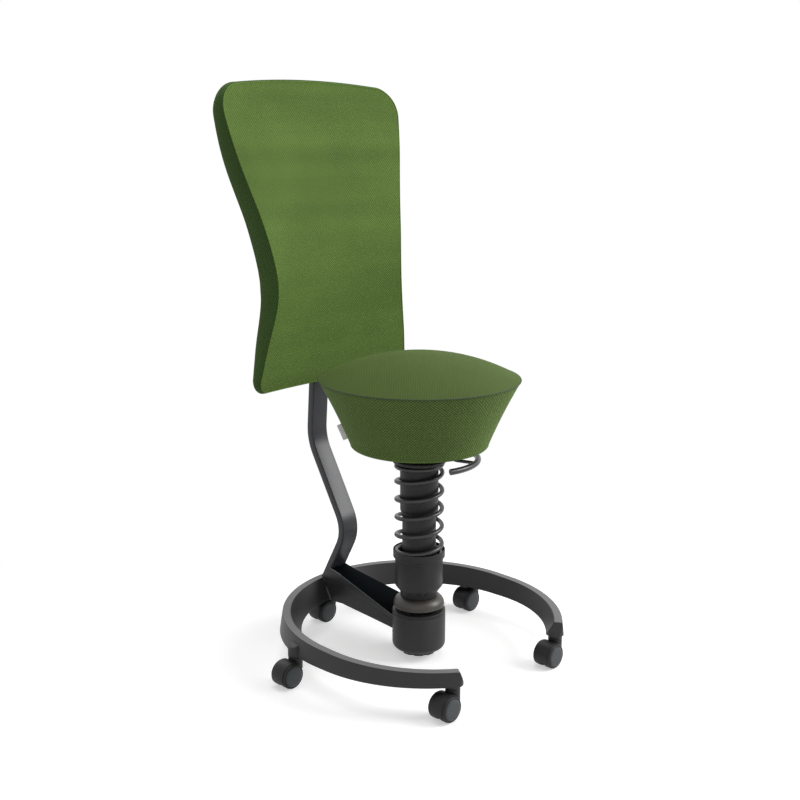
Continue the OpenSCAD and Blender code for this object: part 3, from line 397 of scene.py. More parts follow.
@dataclass(frozen=True)
class SpacerMesh:
    """Knitted spacer fabric: staggered open cells over a darker core, read from a UV map in metres."""

    name: str
    yarn: Colour
    core: Colour
    cell: float = 0.0042
    depth: float = 0.0005
    holes: float = 0.55
    bands: float = 0.0
    sheen: float = 0.25

    def material(self) -> bpy.types.Material:
        """Build the material.

        Returns:
            The material.
        """
        g = Graph(self.name, self.yarn, 0.88)
        turns = 2 * math.pi / self.cell
        place = g.place("UV", (turns, turns, 1.0))
        parts = g.node("ShaderNodeSeparateXYZ")
        g.join(place, parts.inputs["Vector"])
        across = g.math("COSINE", parts.outputs["X"])
        along = g.math("COSINE", parts.outputs["Y"])
        knit = g.math("MULTIPLY_ADD", g.math("MULTIPLY", across, along), 0.5, 0.5)
        height = g.spread(knit, 0.0, 1.0, 0.1, 0.75)
        here = g.place("Object")
        fibre = g.noise(here, 1500.0, 2.0)
        cloud = g.noise(here, 7.0, 3.0)
        pile = g.spread(cloud, 0.86, 1.12, 0.25, 0.75)
        if self.bands:
            stripes = g.noise(g.place("Object", (0.6, 0.6, 16.0)), 1.0, 2.0)
            pile = g.math("MULTIPLY", pile, g.spread(stripes, 1 - self.bands, 1 + self.bands, 0.3, 0.7))
        fuzz = g.math("MULTIPLY", pile, g.spread(fibre, 0.82, 1.18, 0.25, 0.75))
        lit = g.node("ShaderNodeVectorMath", operation="SCALE")
        lit.inputs[0].default_value = self.yarn
        g.join(fuzz, lit.inputs["Scale"])
        cover = g.spread(height, 1 - self.holes, 1.0)
        g.colour(g.blend(cover, self.core, lit.outputs[0]))
        g.set("Sheen Weight", self.sheen)
        g.set("Sheen Roughness", 0.5)
        g.set("Sheen Tint", (*tuple(min(1.0, c * 2.5) for c in self.yarn), 1.0))
        g.set("Specular IOR Level", 0.25)
        g.relief(height, self.depth, 0.8)
        g.relief(fibre, 0.00012, 0.4)
        return g.material


@dataclass(frozen=True)
class WovenTape:
    """Plain woven tape or cord, with ribs across the object's own Y and Z."""

    name: str
    colour: Colour
    rib: float = 0.0009
    sheen: float = 0.2

    def material(self) -> bpy.types.Material:
        """Build the material.

        Returns:
            The material.
        """
        g = Graph(self.name, self.colour, 0.8)
        turns = 2 * math.pi / self.rib
        here = g.place("Object", (turns, turns, turns))
        parts = g.node("ShaderNodeSeparateXYZ")
        g.join(here, parts.inputs["Vector"])
        weave = g.math("MULTIPLY", g.math("SINE", parts.outputs["Y"]), g.math("SINE", parts.outputs["Z"]))
        shade = g.spread(weave, 0.0, 1.0, -1.0, 1.0)
        g.colour(g.blend(shade, tuple(c * 0.85 for c in self.colour), self.colour))
        g.set("Sheen Weight", self.sheen)
        g.relief(shade, 0.0001, 0.6)
        return g.material


@dataclass(frozen=True)
class BarePly:
    """Bare plywood, with grain along X."""

    name: str
    colour: Colour

    def material(self) -> bpy.types.Material:
        """Build the material.

        Returns:
            The material.
        """
        g = Graph(self.name, self.colour, 0.65)
        grain = g.noise(g.place("Object", (6.0, 90.0, 90.0)), 1.0, 4.0)
        g.colour(g.blend(grain, tuple(c * 0.6 for c in self.colour), tuple(c * 1.25 for c in self.colour)))
        g.relief(grain, 0.0002, 0.5)
        return g.material


class Slot(Enum):
    """The record's material slots, each with the finish that dresses it."""

    FRAME = "frame_paint"
    STEM = "stem_paint"
    SPRING = "spring_paint"
    COLUMN = "column_paint"
    STEEL = "steel"
    CHROME = "chrome"
    PLASTIC = "black_plastic"
    BUSH = "bush_plastic"
    RUBBER = "rubber"
    TYRE = "tyre"
    SEAT = "seat_fabric"
    PAD = "pad_fabric"
    LABEL = "label_cloth"
    BOARD = "board_wood"


FABRIC = srgb(90, 116, 50)
SEAT_YARN = srgb(88, 110, 52)
SEAT_TOP_YARN = srgb(74, 92, 42)
FABRIC_CORE = srgb(24, 36, 12)

FINISHES = {
    Slot.FRAME: PowderCoat("Charcoal powder coat", srgb(46, 46, 47), 0.46),
    Slot.STEM: PowderCoat("Smooth charcoal paint", srgb(42, 43, 47), 0.33, peel=0.00002, gloss=0.38),
    Slot.SPRING: PowderCoat("Black spring paint", srgb(36, 36, 37), 0.3, peel=0.00002, gloss=0.5),
    Slot.COLUMN: PowderCoat("Black column paint", srgb(30, 30, 31), 0.44),
    Slot.STEEL: TurnedSteel("Turned steel", srgb(176, 178, 180)),
    Slot.CHROME: TurnedSteel("Ground chrome", srgb(208, 210, 212), 0.12),
    Slot.PLASTIC: MouldedPlastic("Grained black plastic", srgb(24, 24, 26), 0.46),
    Slot.BUSH: MouldedPlastic("Bearing plastic", srgb(206, 200, 186), 0.5),
    Slot.RUBBER: MouldedPlastic("Matt rubber", srgb(58, 54, 48), 0.4, grain=0.00004, grain_scale=700.0,
                                gloss=0.5),
    Slot.TYRE: MouldedPlastic("Castor tread", srgb(24, 24, 25), 0.5),
    Slot.SEAT: SpacerMesh("Green spacer mesh of the seat", SEAT_YARN, FABRIC_CORE, cell=0.0058, holes=0.85),
    Slot.PAD: SpacerMesh("Green spacer mesh of the pad", FABRIC, FABRIC_CORE, cell=0.0052, holes=0.62,
                         bands=0.13),
    Slot.LABEL: WovenTape("White woven tape", srgb(226, 226, 224)),
    Slot.BOARD: BarePly("Bare plywood", srgb(150, 118, 80)),
}


class Workshop:
    """The materials and the CAD frame, and the steps that every sub-assembly shares."""

    def __init__(self, frame: dict[str, object]) -> None:
        """Make every finish once.
        """
        self.nodes: dict[str, bpy.types.Object] = frame["nodes"]
        self.slots = {row["node"]: Slot(row["material_slot"]) for row in frame["record"]["subparts"]}
        rows = frame["record"]["behaviour"]["bodies"].items()
        self.bodies = {node: body for body, names in rows for node in names}
        self.materials = {slot: finish.material() for slot, finish in FINISHES.items()}

    def dress_all(self) -> None:
        """Give every CAD node the finish of its slot."""
        for name, piece in self.nodes.items():
            piece.data.materials.clear()
            piece.data.materials.append(self.materials[self.slots[name]])

    def add(self, name: str, mesh: bpy.types.Mesh, body: str, slot: Slot, stands_for: Iterable[str] = (),
            crease: float = 32.0) -> bpy.types.Object:
        """Put a finished mesh into the scene as a piece of the object.

        Args:
            name: The piece's name.
            mesh: Its mesh, in place.
            body: The CAD body that it rides on.
            slot: The material slot that it takes its finish from.
            stands_for: The CAD nodes that it replaces.
            crease: The angle in degrees from which an edge is sharp.

        Returns:
            The piece.
        """
        mesh.name = name
        if not mesh.materials:
            mesh.materials.append(self.materials[slot])
        mesh.shade_smooth()
        mesh.set_sharp_from_angle(angle=math.radians(crease))
        piece = bpy.data.objects.new(name, mesh)
        bpy.context.scene.collection.objects.link(piece)
        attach(piece, body)
        if stands_for:
            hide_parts(*stands_for)
        log.info("%s: %d faces on %s", name, len(mesh.polygons), body)
        return piece

    def ease(self, node: str, width: float, turn: float = 38.0) -> bpy.types.Object:
        """Stand a copy of a CAD node in its place, with its sharp edges rounded off.

        Args:
            node: The CAD node.
            width: The rounding's width, in metres.
            turn: The least angle of an edge that is rounded, in degrees.

        Returns:
            The piece that replaces the node.
        """
        mesh = self.nodes[node].data.copy()
        mesh.materials.clear()
        work = bmesh.new()
        work.from_mesh(mesh)
        bmesh.ops.remove_doubles(work, verts=work.verts, dist=CAD_WELD * MM)
        bmesh.ops.dissolve_degenerate(work, edges=work.edges, dist=CAD_SLIVER * MM)
        bmesh.ops.dissolve_limit(work, angle_limit=math.radians(CAD_FLAT), verts=work.verts, edges=work.edges)
        work.to_mesh(mesh)
        work.free()
        mesh = eased_mesh(mesh, width, turn)
        return self.add(f"{node}_look", mesh, self.bodies[node], self.slots[node], [node])


def baked(source: bpy.types.Object) -> bpy.types.Mesh:
    """Turn an object and its modifiers into a plain mesh, and remove the object.

    Args:
        source: The object, at the origin.

    Returns:
        The plain mesh.
    """
    graph = bpy.context.evaluated_depsgraph_get()
    mesh = bpy.data.meshes.new_from_object(source.evaluated_get(graph), depsgraph=graph)
    bpy.data.objects.remove(source)
    return mesh


def quad_mesh(name: str, points: Sequence[Point3], faces: Sequence[Sequence[int]]) -> bpy.types.Mesh:
    """Make a mesh from points and faces.

    Args:
        name: Its name.
        points: Its points, in metres.
        faces: Each face as a row of point numbers.

    Returns:
        The mesh.
    """
    mesh = bpy.data.meshes.new(name)
    mesh.from_pydata([tuple(p) for p in points], [], [tuple(f) for f in faces])
    mesh.update()
    return mesh


def outward(mesh: bpy.types.Mesh) -> None:
    """Turn every face of a closed mesh outwards.

    Args:
        mesh: The mesh, which is changed.
    """
    work = bmesh.new()
    work.from_mesh(mesh)
    bmesh.ops.recalc_face_normals(work, faces=work.faces)
    work.to_mesh(mesh)
    work.free()


def rounded(corners: Sequence[Point2], radii: Sequence[float], steps: int) -> list[Point2]:
    """Round the corners of a closed outline.

    Args:
        corners: The outline's corners.
        radii: The rounding of each corner.
        steps: The stretches in each rounding.

    Returns:
        The rounded outline, with steps + 1 points for each corner.
    """
    made: list[Point2] = []
    n = len(corners)
    for i, (corner, radius) in enumerate(zip(corners, radii)):
        here = Vector(corner)
        back, ahead = Vector(corners[i - 1]) - here, Vector(corners[(i + 1) % n]) - here
        half = back.angle(ahead) / 2 if back.length > 1e-6 and ahead.length > 1e-6 else math.pi / 4
        setback = min(radius / math.tan(half), 0.45 * back.length, 0.45 * ahead.length)
        a, b = here + back.normalized() * setback, here + ahead.normalized() * setback
        for k in range(steps + 1):
            t = k / steps
            point = a * (1 - t) ** 2 + here * 2 * t * (1 - t) + b * t * t
            made.append((point.x, point.y))
    return made


def lofted(name: str, rings: Sequence[Sequence[Point3]]) -> bpy.types.Mesh:
    """Skin a row of closed rings and close both ends.

    Args:
        name: The mesh's name.
        rings: The rings, with as many points each, in metres.

    Returns:
        The closed mesh.
    """
    n = len(rings[0])
    faces: list[list[int]] = [list(range(n)), [(len(rings) - 1) * n + k for k in reversed(range(n))]]
    for i in range(len(rings) - 1):
        for k in range(n):
            j = (k + 1) % n
            faces.append([i * n + k, (i + 1) * n + k, (i + 1) * n + j, i * n + j])
    mesh = quad_mesh(name, [p for ring in rings for p in ring], faces)
    outward(mesh)
    return mesh


def prism(name: str, profile: Sequence[Point2], half: Callable[[float], float]) -> bpy.types.Mesh:
    """Stand a side profile across the object.

    Args:
        name: The mesh's name.
        profile: The profile's (y, z) points, in millimetres.
        half: The half width at each y, in millimetres.

    Returns:
        The closed mesh.
    """
    points = [(side * half(y) * MM, y * MM, z * MM) for side in (-1, 1) for y, z in profile]
    n = len(profile)
    faces = [list(range(n)), [n + k for k in reversed(range(n))]]
    faces += [[k, n + k, n + (k + 1) % n, (k + 1) % n] for k in range(n)]
    mesh = quad_mesh(name, points, faces)
    outward(mesh)
    return mesh


def eased_mesh(mesh: bpy.types.Mesh, width: float, turn: float = 24.0) -> bpy.types.Mesh:
    """Round off the sharp edges of a plain mesh.

    Args:
        mesh: The mesh, which is used up.
        width: The rounding's width, in metres.
        turn: The least angle of an edge that is rounded, in degrees.

    Returns:
        The rounded mesh.
    """
    blank = bpy.data.objects.new(f"{mesh.name}_blank", mesh)
    bpy.context.scene.collection.objects.link(blank)
    bevel = blank.modifiers.new("Ease", "BEVEL")
    bevel.width = width
    bevel.segments = EASE_STEPS
    bevel.limit_method = "ANGLE"
    bevel.angle_limit = math.radians(turn)
    bevel.use_clamp_overlap = True
    return baked(blank)


def joined(name: str, parts: Sequence[bpy.types.Mesh]) -> bpy.types.Mesh:
    """Put several plain meshes together in one.

    Args:
        name: The new mesh's name.
        parts: The meshes.

    Returns:
        The new mesh.
    """
    work = bmesh.new()
    for part in parts:
        work.from_mesh(part)
    mesh = bpy.data.meshes.new(name)
    work.to_mesh(mesh)
    work.free()
    return mesh


def turned_mesh(name: str, profile: Sequence[Point2], sides: int, at: Point3, axis: str = "Z",
                lobe: Callable[[float], float] | None = None) -> bpy.types.Mesh:
    """Turn a closed (radius, height) profile about an axis.

    Args:
        name: The mesh's name.
        profile: The profile's points, in millimetres.
        sides: The steps round the axis.
        at: The foot of the axis, in millimetres.
        axis: "Z" for an upright axis, "+Y" or "-Y" for one that lies along Y.
        lobe: The share by which each radius changes with the angle, or None for a round piece.

    Returns:
        The closed mesh.
    """
    points: list[Point3] = []
    for k in range(sides):
        a = 2 * math.pi * k / sides
        for r, h in profile:
            reach = r * (lobe(a) if lobe else 1.0)
            u, v = reach * math.cos(a), reach * math.sin(a)
            local = (u, v, h) if axis == "Z" else (u, h if axis == "+Y" else -h, v)
            points.append(tuple((c + o) * MM for c, o in zip(local, at)))
    n = len(profile)
    faces = []
    for k in range(sides):
        j = (k + 1) % sides
        for i in range(n):
            m = (i + 1) % n
            faces.append([k * n + i, j * n + i, j * n + m, k * n + m])
    mesh = quad_mesh(name, points, faces)
    work = bmesh.new()
    work.from_mesh(mesh)
    bmesh.ops.remove_doubles(work, verts=work.verts, dist=TURNED_WELD * MM)
    bmesh.ops.dissolve_degenerate(work, edges=work.edges, dist=TURNED_WELD * MM)
    bmesh.ops.recalc_face_normals(work, faces=work.faces)
    work.to_mesh(mesh)
    work.free()
    return mesh


def path_object(name: str, points: Sequence[Point3], closed: bool) -> bpy.types.Object:
    """Make a straight-edged curve.

    Args:
        name: Its name.
        points: The points that it runs through, in metres.
        closed: Whether the last point leads back to the first.

    Returns:
        The curve object.
    """
    data = bpy.data.curves.new(name, "CURVE")
    data.dimensions = "3D"
    spline = data.splines.new("POLY")
    spline.points.add(len(points) - 1)
    for knot, point in zip(spline.points, points):
        knot.co = (*point, 1.0)
    spline.use_cyclic_u = closed
    made = bpy.data.objects.new(name, data)
    bpy.context.scene.collection.objects.link(made)
    return made


class GeometryTool:
    """A Geometry Nodes tree that is built here, run on one object and then taken off again."""

    def __init__(self, name: str) -> None:
        """Start a tree with a geometry input and output.

        Args:
            name: The tree's name.
        """
        self.tree = bpy.data.node_groups.new(name, "GeometryNodeTree")
        self.tree.interface.new_socket("Geometry", in_out="INPUT", socket_type="NodeSocketGeometry")
        self.tree.interface.new_socket("Geometry", in_out="OUTPUT", socket_type="NodeSocketGeometry")
        self.entry = self.tree.nodes.new("NodeGroupInput")
        self.exit = self.tree.nodes.new("NodeGroupOutput")
        self.named: dict[str, str] = {}

    def size(self, name: str, kind: str = "NodeSocketFloat") -> bpy.types.NodeSocket:
        """Add a named input.

        Args:
            name: Its name.
            kind: Its type, as Blender names it.

        Returns:
            Its socket inside the tree.
        """
        made = self.tree.interface.new_socket(name, in_out="INPUT", socket_type=kind)
        self.named[name] = made.identifier
        return next(s for s in self.entry.outputs if s.identifier == made.identifier)

    def node(self, kind: str, **links: object) -> bpy.types.Node:
        """Add a node.

        Args:
            kind: Its type, as Blender names it.
            **links: Its inputs by name, with underscores for spaces, linked or set.

        Returns:
            The node.
        """
        made = self.tree.nodes.new(kind)
        for name, value in links.items():
            socket = made.inputs[name.replace("_", " ")]
            if isinstance(value, bpy.types.NodeSocket):
                self.tree.links.new(value, socket)
            else:
                socket.default_value = value
        return made

    def end(self, geometry: bpy.types.NodeSocket, material: bpy.types.NodeSocket) -> None:
        """Close the tree: smooth faces, realized instances and the material.

        Args:
            geometry: What the tree has made.
            material: Its finish.
        """
        smooth = self.node("GeometryNodeSetShadeSmooth", Geometry=geometry)
        real = self.node("GeometryNodeRealizeInstances", Geometry=smooth.outputs[0])
        dressed = self.node("GeometryNodeSetMaterial", Geometry=real.outputs[0], Material=material)
        self.tree.links.new(dressed.outputs[0], self.exit.inputs[0])

    def run(self, source: bpy.types.Object, **values: object) -> bpy.types.Mesh:
        """Run the tree on an object and return the result as a plain mesh.

        Args:
            source: The object that it works on, which is removed.
            **values: The named inputs, with underscores for spaces.

        Returns:
            The plain mesh.
        """
        modifier = source.modifiers.new(self.tree.name, "NODES")
        modifier.node_group = self.tree
        for name, value in values.items():
            modifier[self.named[name.replace("_", " ")]] = value
        return baked(source)


class RoundBar(GeometryTool):
    """A round bar, wire or cord along a curve."""

    def __init__(self) -> None:
        """Build the tree."""
        super().__init__("Round bar along a path")
        radius = self.size("Radius")
        sides = self.size("Sides", "NodeSocketInt")
        material = self.size("Material", "NodeSocketMaterial")
        ring = self.node("GeometryNodeCurvePrimitiveCircle", Resolution=sides, Radius=radius)
        bar = self.node("GeometryNodeCurveToMesh", Curve=self.entry.outputs[0], Profile_Curve=ring.outputs[0],
                        Fill_Caps=True)
        self.end(bar.outputs[0], material)


def round_bar(name: str, line: Sequence[Point3], radius: float, sides: int, material: bpy.types.Material,
              closed: bool = False) -> bpy.types.Mesh:
    """Make a round bar, wire or cord.

    Args:
        name: The name that its path starts with.
        line: The points along its middle, in metres.
        radius: Its radius, in millimetres.
        sides: The faces round it.
        material: Its finish.
        closed: Whether the last point leads back to the first.

    Returns:
        The bar's mesh.
    """
    path = path_object(f"{name}_path", line, closed)
    return RoundBar().run(path, Radius=radius * MM, Sides=sides, Material=material)


@dataclass
class PadShape:
    """Outline and surfaces of the backrest pad, the same as the CAD's."""

    foot_z: float = 538.0
    top_z: float = 1153.0
    arch: float = 9.0
    corner: float = 62.0
    foot_corner: float = 28.0
    hollow: float = 20.0
    shell_hollow: float = 12.0
    side: float = 3.5
    widths: tuple[Point2, ...] = ((533, 214), (620, 198), (740, 176), (860, 190.5), (1020, 229), (1153, 250))
    fronts: tuple[Point2, ...] = ((538, 240), (640, 225), (740, 213.8), (840, 226), (980, 261.4), (1153, 301))
    rears: tuple[Point2, ...] = ((538, 261), (640, 266), (740, 270), (860, 287), (980, 313), (1080, 321),
                                 (1153, 317))

    def outline(self, u: float, v: float, inset: float) -> Point2:
        """Return the (x, z) place of a point of the pad's outline grid.

        Args:
            u: Across, -1 to 1.
            v: Up, 0 to 1.
            inset: How far inside the outline, in millimetres.

        Returns:
            The place, in millimetres.
        """
        edge = self.top_z - self.arch * u * u
        z0 = self.foot_z + (edge - self.foot_z) * v
        middle = (self.foot_z + self.top_z) / 2
        z = middle + (z0 - middle) * (1 - 2 * inset / (self.top_z - self.foot_z))
        s = max(0.0, min(1.0, (z0 - (edge - self.corner)) / self.corner))
        q = max(0.0, min(1.0, (self.foot_z + self.foot_corner - z0) / self.foot_corner))
        cut = self.corner * (1 - math.sqrt(1 - s * s)) + self.foot_corner * (1 - math.sqrt(1 - q * q))
        return u * (smooth_curve(self.widths, z0) - inset - cut), z

    def front(self, x: float, z: float) -> float:
        """Return the front surface's y at (x, z)."""
        return smooth_curve(self.fronts, z) + self.hollow * (1 - (x / smooth_curve(self.widths, z)) ** 2)

    def rear(self, x: float, z: float) -> float:
        """Return the rear surface's y at (x, z)."""
        return smooth_curve(self.rears, z) + self.shell_hollow * (1 - (x / smooth_curve(self.widths, z)) ** 2)


@dataclass
class Backrest:
    """The upholstered pad with its side border and seam, and the rigid pieces behind it."""

    shop: Workshop
    shape: PadShape = field(default_factory=PadShape)
    columns: int = 56
    rows: int = 84
    border_steps: int = 8
    border_bulge: float = 0.7
    seam_r: float = 0.9
    stem_w: float = 44.4
    stem_t: float = 16.2
    stem_corner: float = 3.6
    bend_steps: int = 20
    stem_line: tuple[Point3, ...] = ((264.6, 97.0, 0), (197.4, 220.0, 75), (303.0, 405.0, 105),
                                     (291.5, 560.0, 300), (301.5, 760.0, 0))

    def build(self) -> None:
        """Build the pad, its seam cord and the rigid pieces behind it."""
        self.build_pad()
        self.shop.ease("backrest_shell", 1.2 * MM, turn=50)
        self.build_stem()
        self.shop.ease("stem_clamp", 0.8 * MM)
        self.shop.ease("clamp_screws", 0.4 * MM)

    def stem_path(self) -> list[Point2]:
        """Round the bends of the stem's middle line.

        Returns:
            The line's (y, z) points, in millimetres.
        """
        line = self.stem_line
        made: list[Point2] = [line[0][:2]]
        shares = [k / self.bend_steps for k in range(self.bend_steps + 1)]
        for (y0, z0, _), (y1, z1, radius), (y2, z2, _) in zip(line, line[1:], line[2:]):
            here = Vector((y1, z1))
            back, ahead = Vector((y0, z0)) - here, Vector((y2, z2)) - here
            setback = radius * math.tan((math.pi - back.angle(ahead)) / 2)
            a, b = here + back.normalized() * setback, here + ahead.normalized() * setback
            made += [tuple(a * (1 - t) ** 2 + here * 2 * t * (1 - t) + b * t * t) for t in shares]
        return [*made, line[-1][:2]]

    def build_stem(self) -> None:
        """Sweep the stem's flat section along its middle line."""
        w, t = self.stem_w / 2, self.stem_t / 2
        section = rounded([(-w, -t), (w, -t), (w, t), (-w, t)], [self.stem_corner] * 4, 5)
        line = self.stem_path()
        rings = []
        for i, (y, z) in enumerate(line):
            (ya, za), (yb, zb) = line[max(i - 1, 0)], line[min(i + 1, len(line) - 1)]
            along = Vector((yb - ya, zb - za)).normalized()
            rings.append([(x * MM, (y + d * along.y) * MM, (z - d * along.x) * MM) for x, d in section])
        mesh = lofted("backrest_stem_look", rings)
        self.shop.add("backrest_stem_look", mesh, "base", Slot.STEM, ["backrest_stem"])

    def build_pad(self) -> None:
        """Build the pad as one closed skin of front, border and rear."""
        s = self.shape
        n, m, k = self.columns, self.rows, self.border_steps
        us = [-math.cos(math.pi * i / n) for i in range(n + 1)]
        vs = [0.5 - 0.5 * math.cos(math.pi * j / m) for j in range(m + 1)]
        flat = [[s.outline(u, v, s.side) for u in us] for v in vs]
        walk = ([(i, 0) for i in range(n)] + [(n, j) for j in range(m)] + [(i, m) for i in range(n, 0, -1)]
                + [(0, j) for j in range(m, 0, -1)])
        count = len(walk)
        points: list[Point3] = []
        uvs: list[Point2] = []

        def skin(surface: Callable[[float, float], float]) -> list[list[int]]:
            """Add the front or the rear.

            Args:
                surface: Its y at each (x, z).

            Returns:
                The numbers of its points, row by row.
            """
            grid: list[list[int]] = []
            for row in flat:
                grid.append([len(points) + i for i in range(n + 1)])
                points.extend((x * MM, surface(x, z) * MM, z * MM) for x, z in row)
                uvs.extend((x * MM, z * MM) for x, z in row)
            return grid

        front = skin(s.front)
        faces = [[front[j][i], front[j][i + 1], front[j + 1][i + 1], front[j + 1][i]]
                 for j in range(m) for i in range(n)]
        front_faces = len(faces)
        length = 0.0
        last: Vector | None = None
        run: list[float] = []
        for i, j in walk:
            x, z = flat[j][i]
            here = Vector((x, s.front(x, z), z))
            length += (here - last).length if last is not None else 0.0
            last = here
            run.append(length * MM)
        rings: list[list[int]] = []
        for step in range(k + 1):
            share = step / k
            out = math.sin(math.pi * share) ** self.border_bulge if 0 < share < 1 else 0.0
            ring = []
            for (i, j), along in zip(walk, run):
                x, z = flat[j][i]
                ox, oz = s.outline(us[i], vs[j], 0)
                y0, y1 = s.front(x, z), s.rear(x, z)
                ring.append(len(points))
                points.append(((x + (ox - x) * out) * MM, (y0 + (y1 - y0) * share) * MM,
                               (z + (oz - z) * out) * MM))
                uvs.append((along, (y1 - y0) * share * MM))
            rings.append(ring)
        for near, far in zip(rings, rings[1:]):
            for e in range(count):
                f = (e + 1) % count
                faces.append([near[e], far[e], far[f], near[f]])
        rear = skin(s.rear)
        faces += [[rear[j][i], rear[j + 1][i], rear[j + 1][i + 1], rear[j][i + 1]]
                  for j in range(m) for i in range(n)]
        mesh = quad_mesh("backrest_pad_look", points, faces)
        layer = mesh.uv_layers.new(name="weave")
        for loop in mesh.loops:
            layer.data[loop.index].uv = uvs[loop.vertex_index]
        border = SpacerMesh("Green border mesh of the pad", srgb(60, 88, 34), srgb(20, 32, 12), cell=0.0056,
                            holes=0.8, depth=0.0008)
        mesh.materials.append(self.shop.materials[Slot.PAD])
        mesh.materials.append(border.material())
        for polygon in mesh.polygons:
            polygon.material_index = 0 if polygon.index < front_faces else 1
        pad = self.shop.add("backrest_pad_look", mesh, "base", Slot.PAD, ["backrest_pad"], crease=60)
        seam = round_bar("pad_front_seam", [points[e] for e in rings[0]], self.seam_r, 8,
                         self.shop.materials[Slot.PAD], closed=True)
        self.shop.add("pad_front_seam", seam, "base", Slot.PAD)


@dataclass
class Seat:
    """The round cushion, domed and piped, with the pieces beneath it and the lift lever."""

    shop: Workshop
    rim_r: float = 200.0
    rim_z: float = 577.9
    crown: float = 51.0
    foot_r: float = 138.0
    foot_z: float = 441.0
    edge: float = 12.0
    edge_from: float = -22.0
    edge_turn: float = 66.0
    draw: float = 2.5
    piping: float = 3.0
    cord_r: float = 1.8
    cord_out: float = 0.6
    cord_steps: int = 220
    board_r: float = 112.0
    pocket_z: float = 461.0
    sectors: int = 144
    top_steps: int = 30
    side_steps: int = 22
    edge_steps: int = 6
    top_normal: float = 0.8
    lever_r: float = 6.1
    lever_arm_r: float = 3.4
    lever_eye_r: float = 7.2
    lever_eye_half: float = 6.0
    tongue_r: float = 1.5
    tongue_rise: float = 14.4
    lever_reach: float = 116.5
    lever_z: float = 416.0
    lever_from: float = -106.5
    lever_to: float = -22.0
    lever_steps: int = 60
    lever_turn: float = 47.0
    lever_arm: tuple[Point3, ...] = ((51.0, -105.0, 415.5), (39.0, -64.0, 415.5), (39.6, -44.0, 417.0),
                                     (27.8, -25.9, 425.6))

    def side_point(self, t: float) -> Point2:
        """Find a point of the cushion's side.

        Args:
            t: The share of the way from foot to rim.

        Returns:
            Its (radius, height), in millimetres.
        """
        r0, z0 = self.foot_r, self.foot_z + self.edge * 0.75
        r1, z1 = self.rim_r - self.piping * 0.9, self.rim_z - self.piping * 0.8
        return r0 + t * (r1 - r0) - self.draw * 4 * t * (1 - t), z0 + t * (z1 - z0)

    def build(self) -> None:
        """Build the cushion, its piping, the pieces beneath it and the lever."""
        top, side = self.profiles()
        mesh = self.turned(top, side)
        finer = SpacerMesh("Green spacer mesh of the seat top", SEAT_TOP_YARN, FABRIC_CORE, cell=0.0044,
                           holes=0.5, depth=0.0003)
        mesh.materials.append(self.shop.materials[Slot.SEAT])
        mesh.materials.append(finer.material())
        for polygon in mesh.polygons:
            if polygon.normal.z > self.top_normal:
                polygon.material_index = 1
        cushion = self.shop.add("seat_cushion_look", mesh, "seat", Slot.SEAT, ["seat_cushion"], crease=50)
        r = self.rim_r - self.piping + self.cord_out
        turns = [2 * math.pi * i / self.cord_steps for i in range(self.cord_steps)]
        ring = [(r * MM * math.cos(a), r * MM * math.sin(a), self.rim_z * MM) for a in turns]
        # Painted shade: the piping cord is painted a darker green than the seat's fabric, standing in for the
        # shadow line under the rim's lip.
        cord = WovenTape("Seam cord with painted shade", srgb(50, 68, 30), sheen=0.0).material()
        piping = round_bar("seat_piping", ring, self.cord_r, 12, cord, closed=True)
        self.shop.add("seat_piping", piping, "seat", Slot.SEAT)
        for node, width in (("seat_bracket", 0.6), ("seat_screws", 0.4), ("lever_pin", 0.4),
                            ("seat_label", 0.1), ("seat_board", 0.8), ("gas_cylinder", 0.4),
                            ("valve_pin", 0.3)):
            self.shop.ease(node, width * MM)
        self.build_lever()

    def build_lever(self) -> None:
        """Build the lift lever: a curved round handle on a thinner arm, with its eye and tongue."""
        paint = self.shop.materials[Slot.SPRING]
        first, last = math.radians(self.lever_from), math.radians(self.lever_to)
        reach, steps = self.lever_reach, self.lever_steps
        arc = [(reach * math.cos(a) * MM, reach * math.sin(a) * MM, self.lever_z * MM)
               for a in (first + (last - first) * i / steps for i in range(steps + 1))]
        bars = [round_bar("lever_handle", arc, self.lever_r, 24, paint)]
        x, y, z = self.lever_arm[-1]
        turn, half = math.radians(self.lever_turn), self.lever_eye_half
        eye = [(x + s * math.cos(turn), y + s * math.sin(turn), z) for s in (-half, half)]
        high = z + self.tongue_rise
        tongue = [(0.0, 0.0, high), (x, y, high), (x, y, z)]
        for name, line, radius, sides in (("lever_arm", self.lever_arm, self.lever_arm_r, 16),
                                          ("lever_eye", eye, self.lever_eye_r, 32),
                                          ("lever_tongue", tongue, self.tongue_r, 12)):
            bars.append(round_bar(name, [tuple(c * MM for c in p) for p in line], radius, sides, paint))
        mesh = joined("lift_lever_look", bars)
        self.shop.add("lift_lever_look", mesh, "lever", Slot.SPRING, ["lift_lever"])

    def profiles(self) -> tuple[list[Point2], list[Point2]]:
        """Draw the cushion's outline.

        Returns:
            The (radius, height) lines of the top and of the side with its lower edge, in millimetres.
        """
        cap = (self.rim_r**2 + self.crown**2) / (2 * self.crown)
        half = math.asin((self.rim_r - self.piping) / cap)
        swings = [half * i / self.top_steps for i in range(self.top_steps + 1)]
        top = [(cap * math.sin(a), self.rim_z + self.crown - cap * (1 - math.cos(a))) for a in swings]
        side = [self.side_point(1 - i / self.side_steps) for i in range(self.side_steps + 1)]
        centre = (self.foot_r - self.edge * 0.9, self.foot_z + self.edge)
        for i in range(1, self.edge_steps + 1):
            a = math.radians(self.edge_from - self.edge_turn * i / self.edge_steps)
            side.append((centre[0] + self.edge * math.cos(a), centre[1] + self.edge * math.sin(a)))
        side += [(self.board_r + 6, self.foot_z), (self.board_r + 0.4, self.foot_z + 0.4),
                 (self.board_r, self.pocket_z)]
        return top, side

